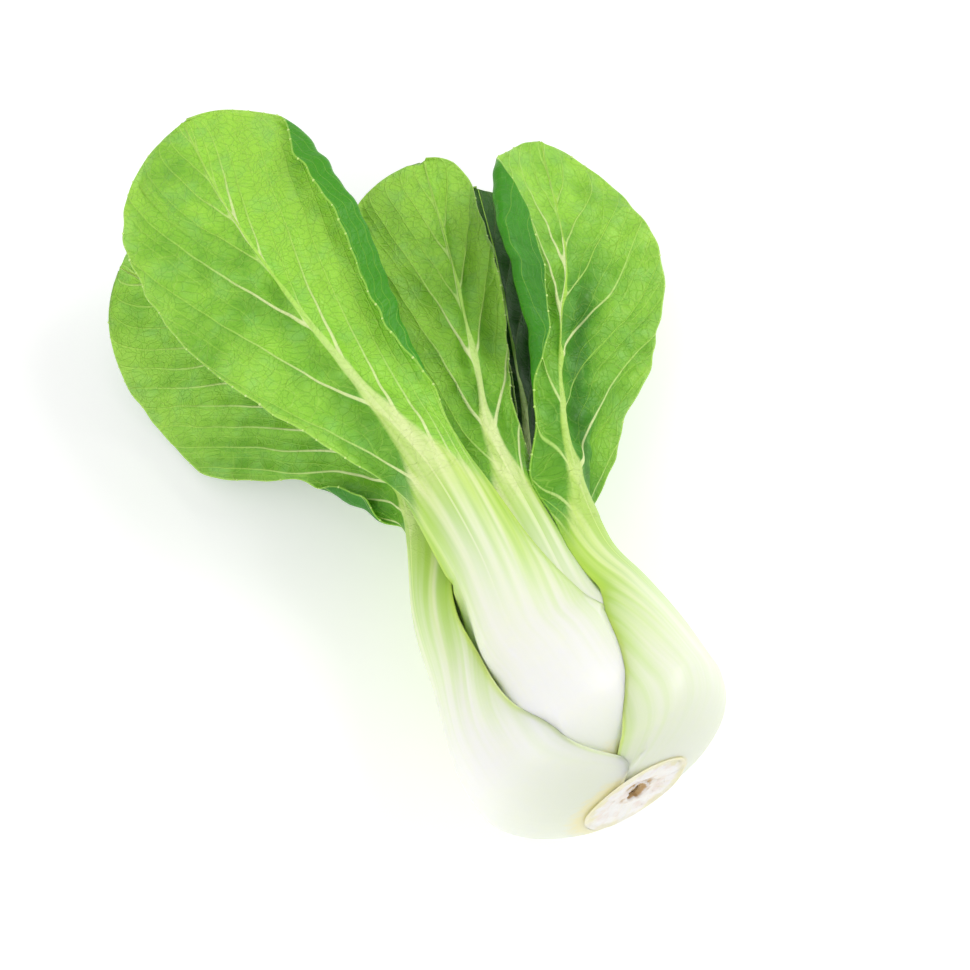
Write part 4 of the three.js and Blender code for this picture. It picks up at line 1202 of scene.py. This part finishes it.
class GREENS_OT_beads(bpy.types.Operator):
    """Sets small pale beads along the margins of the blades"""
    bl_idname = "greens.beads"
    bl_label = "Margin beads"

    def execute(self, context):
        settings = context.scene.bok_choy
        tree = bead_tree()
        material = bead_material(settings)
        for number, leaf in enumerate(grown_leaves):
            rows = (leaf.share > leaf.neck + 0.07) & (leaf.share < 0.985)
            lines = [((leaf.outer + leaf.inner) / 2)[rows, i] for i in (0, -1)]
            for line in lines:
                line[:, 2] = np.maximum(line[:, 2], BEADS_HEIGHT)
            piece = grown_by(tree, edge_mesh(leaf.name + "_line", lines), leaf.name + "_beads", {
                "Spacing": settings.bead_spacing, "Bead radius": settings.bead_radius,
                "Unevenness": 0.35, "Seed": settings.bead_seed + number, "Material": material})
            finished(piece, "blade")
        return {"FINISHED"}


def cut_profile():
    """Radius and depth of the stem's rings, from the pit over the cut face to the far end."""
    pit = [(0.5, 0.99), (0.75, 0.85), (0.88, 0.5), (0.96, 0.2)]
    profile = [(PIT_RADIUS * k, PIT_DEPTH * share) for k, share in pit]
    profile += [(PIT_RADIUS, 0.35), (PIT_RADIUS * 1.04, 0.1)]
    profile += [(radius, 0) for radius in np.linspace(PIT_RADIUS + 0.4, PLATE_RADIUS - 0.7, 36)]
    profile += [(PLATE_RADIUS - 0.3, 0.08), (PLATE_RADIUS - 0.05, 0.3), (PLATE_RADIUS, 0.6)]
    profile += [(STEM_RADII[0], 1.1)]
    profile += [(float(stem_radius(reach)), reach) for reach in np.linspace(1.5, 17.9, 24)]
    return np.array(profile).T[:, :, None]


def cut_mesh():
    """The stem's closed mesh, and for each of its points the radius, angle and depth."""
    turned = np.linspace(0, 2 * math.pi, 161)[:-1]
    across, up = np.cos(turned), np.sin(turned)
    radius, depth = cut_profile() + np.zeros(len(turned))
    jagged = ripple(9 * across, 9 * up, 9, 4) * 0.16 + ripple(20 * across, 20 * up, 8, 8) * 0.1
    in_pit = smooth(PIT_RADIUS + 1.6, PIT_RADIUS, radius) * (depth < PIT_DEPTH)
    radius = radius * (1 + jagged[None] * in_pit)
    on_face = smooth(PLATE_RADIUS, PLATE_RADIUS - 1.5, radius) * (depth < 0.1)
    wander = 0.5 * ripple(5 * across, 5 * up, 6, 12)[None]
    radius = radius + wander * smooth(PLATE_RADIUS - 3, PLATE_RADIUS, radius) * (depth < 1)
    aside = smooth(3, 0, depth)
    near_pit = smooth(PLATE_RADIUS - 2, PIT_RADIUS, radius) * (depth < PIT_DEPTH)
    stretch = 1 + (PIT_STRETCH - 1) * smooth(PIT_RADIUS + 3, PIT_RADIUS, radius) * near_pit
    px = radius * across + PLATE_SHIFT[0] * aside
    pz = radius * up * stretch + PLATE_SHIFT[1] * aside + PIT_SHIFT * near_pit
    uneven = on_face * (0.35 + 0.25 * ripple(px, pz, 7, 2) + 0.1 * ripple(px, pz, 2.5, 6))
    reach = depth + np.maximum(uneven, 0)
    grid = np.stack([px, reach - CUT_TO_WIDEST, AXIS_HEIGHT + pz], -1)
    rings, spokes = grid.shape[:2]
    pit_floor = grid[0].mean(0)
    pit_floor[1] = PIT_DEPTH - CUT_TO_WIDEST
    stem_end = [0, STEM_REACH[-1] - CUT_TO_WIDEST, AXIS_HEIGHT]
    points = np.concatenate([grid.reshape(-1, 3), [pit_floor, stem_end]])
    index = np.arange(rings * spokes).reshape(rings, spokes)
    index = np.concatenate([index, index[:, :1]], 1)
    floor_fan = np.stack([index[0, :-1], index[0, 1:], np.full(spokes, rings * spokes)], -1)
    back_fan = np.stack([index[-1, 1:], index[-1, :-1], np.full(spokes, rings * spokes + 1)], -1)
    faces = [quads(index)[:, ::-1], floor_fan[:, ::-1], back_fan[:, ::-1]]
    places = np.stack([radius, turned + 0 * radius, reach], -1).reshape(-1, 3)
    places = np.concatenate([places, [[0, 0, PIT_DEPTH], [0, 0, STEM_REACH[-1]]]])
    return points, faces, places


def fibre_ring():
    """Points on an uneven ring round the pit."""
    ring = np.linspace(0, 2 * math.pi, 47)[:-1]
    radius = FIBRE_RING_RADIUS + 0.9 * ripple(6 * np.cos(ring), 6 * np.sin(ring), 7, 3)
    spots = np.stack([radius * np.cos(ring), np.full(len(ring), 0.3 - CUT_TO_WIDEST),
                      AXIS_HEIGHT + radius * np.sin(ring)], -1)
    mesh = bpy.data.meshes.new("fibre_ring")
    mesh.from_pydata((spots * MM).tolist(), [], [])
    return mesh


class GREENS_OT_cut_base(bpy.types.Operator):
    """Builds the cut end of the stem, with its pit and fibre ends"""
    bl_idname = "greens.cut_base"
    bl_label = "Cut base"

    def execute(self, context):
        material = cut_material(context.scene.bok_choy)
        points, faces, places = cut_mesh()
        piece = mesh_of("cut_base", points, faces)
        put_vectors(piece.data, "cut_place", list(places.T))
        piece.data.materials.append(material)
        finished(piece, "stem", "stem_base")
        fibres = grown_by(fibre_tree(), fibre_ring(), "fibre_ends", {
            "Fibre radius": 0.00022, "Scatter": 0.0009, "Seed": 5, "Material": material})
        finished(fibres, "stem")
        return {"FINISHED"}


# The camera and the lights are placed in metres.
CAMERA_AZIMUTH = -31.5
CAMERA_ELEVATION = 64.0
CAMERA_DISTANCE = 0.75
CAMERA_TARGET = (0.014, 0.074, 0.033)
CAMERA_LENS = 108.0


def aimed(thing, target):
    thing.rotation_euler = (Vector(target) - thing.location).to_track_quat("-Z", "Y").to_euler()


class GREENS_OT_stage(bpy.types.Operator):
    """Adds the floor, the soft lights, the white surround and the camera"""
    bl_idname = "greens.stage"
    bl_label = "Stage"

    def execute(self, context):
        settings = context.scene.bok_choy
        scene = context.scene
        corners = np.array([(-1, -1, 0), (1, -1, 0), (1, 1, 0), (-1, 1, 0)])
        floor = mesh_of("floor", corners * FLOOR_HALF, [np.array([[0, 1, 2, 3]])])
        floor.data.materials.append(floor_material(settings))
        a, e = math.radians(CAMERA_AZIMUTH), math.radians(CAMERA_ELEVATION)
        back = Vector((math.sin(a) * math.cos(e), -math.cos(a) * math.cos(e), math.sin(e)))
        camera = bpy.data.objects.new("camera", bpy.data.cameras.new("camera"))
        camera.data.lens = CAMERA_LENS
        camera.data.sensor_width = 36.0
        camera.location = Vector(CAMERA_TARGET) + back * CAMERA_DISTANCE
        aimed(camera, CAMERA_TARGET)
        scene.collection.objects.link(camera)
        scene.camera = camera
        lights = [("key_light", settings.key_power, (0.6, 0.05, 0.75), 0.45),
                  ("fill_light", settings.fill_power, (-0.65, -0.1, 0.6), 0.9)]
        for name, power, place, width in lights:
            light = bpy.data.objects.new(name, bpy.data.lights.new(name, "AREA"))
            light.data.energy = power
            light.data.size = width
            light.location = place
            aimed(light, (0.02, 0.08, 0.03))
            scene.collection.objects.link(light)
        world = bpy.data.worlds.new("surround")
        world.use_nodes = True
        shade = world.node_tree.nodes["Background"]
        shade.inputs["Color"].default_value = (1.0, 1.0, 1.0, 1.0)
        shade.inputs["Strength"].default_value = settings.sky
        scene.world = world
        scene.view_settings.view_transform = "Standard"
        return {"FINISHED"}


class GREENS_PT_head(bpy.types.Panel):
    bl_label = "Bok choy"
    bl_idname = "GREENS_PT_head"
    bl_space_type = "VIEW_3D"
    bl_region_type = "UI"
    bl_category = "Bok choy"

    def draw(self, context):
        for operator in OPERATORS:
            self.layout.operator(operator.bl_idname)
        for key in HeadSettings.__annotations__:
            self.layout.prop(context.scene.bok_choy, key)


OPERATORS = (GREENS_OT_leaves, GREENS_OT_beads, GREENS_OT_cut_base, GREENS_OT_stage)
CLASSES = (HeadSettings, *OPERATORS, GREENS_PT_head)


def register():
    for kind in CLASSES:
        bpy.utils.register_class(kind)
    bpy.types.Scene.bok_choy = PointerProperty(type=HeadSettings)


def unregister():
    del bpy.types.Scene.bok_choy
    for kind in reversed(CLASSES):
        bpy.utils.unregister_class(kind)


def main():
    register()
    bpy.ops.greens.leaves()
    bpy.ops.greens.beads()
    bpy.ops.greens.cut_base()
    bpy.ops.greens.stage()


if __name__ == "__main__":
    main()
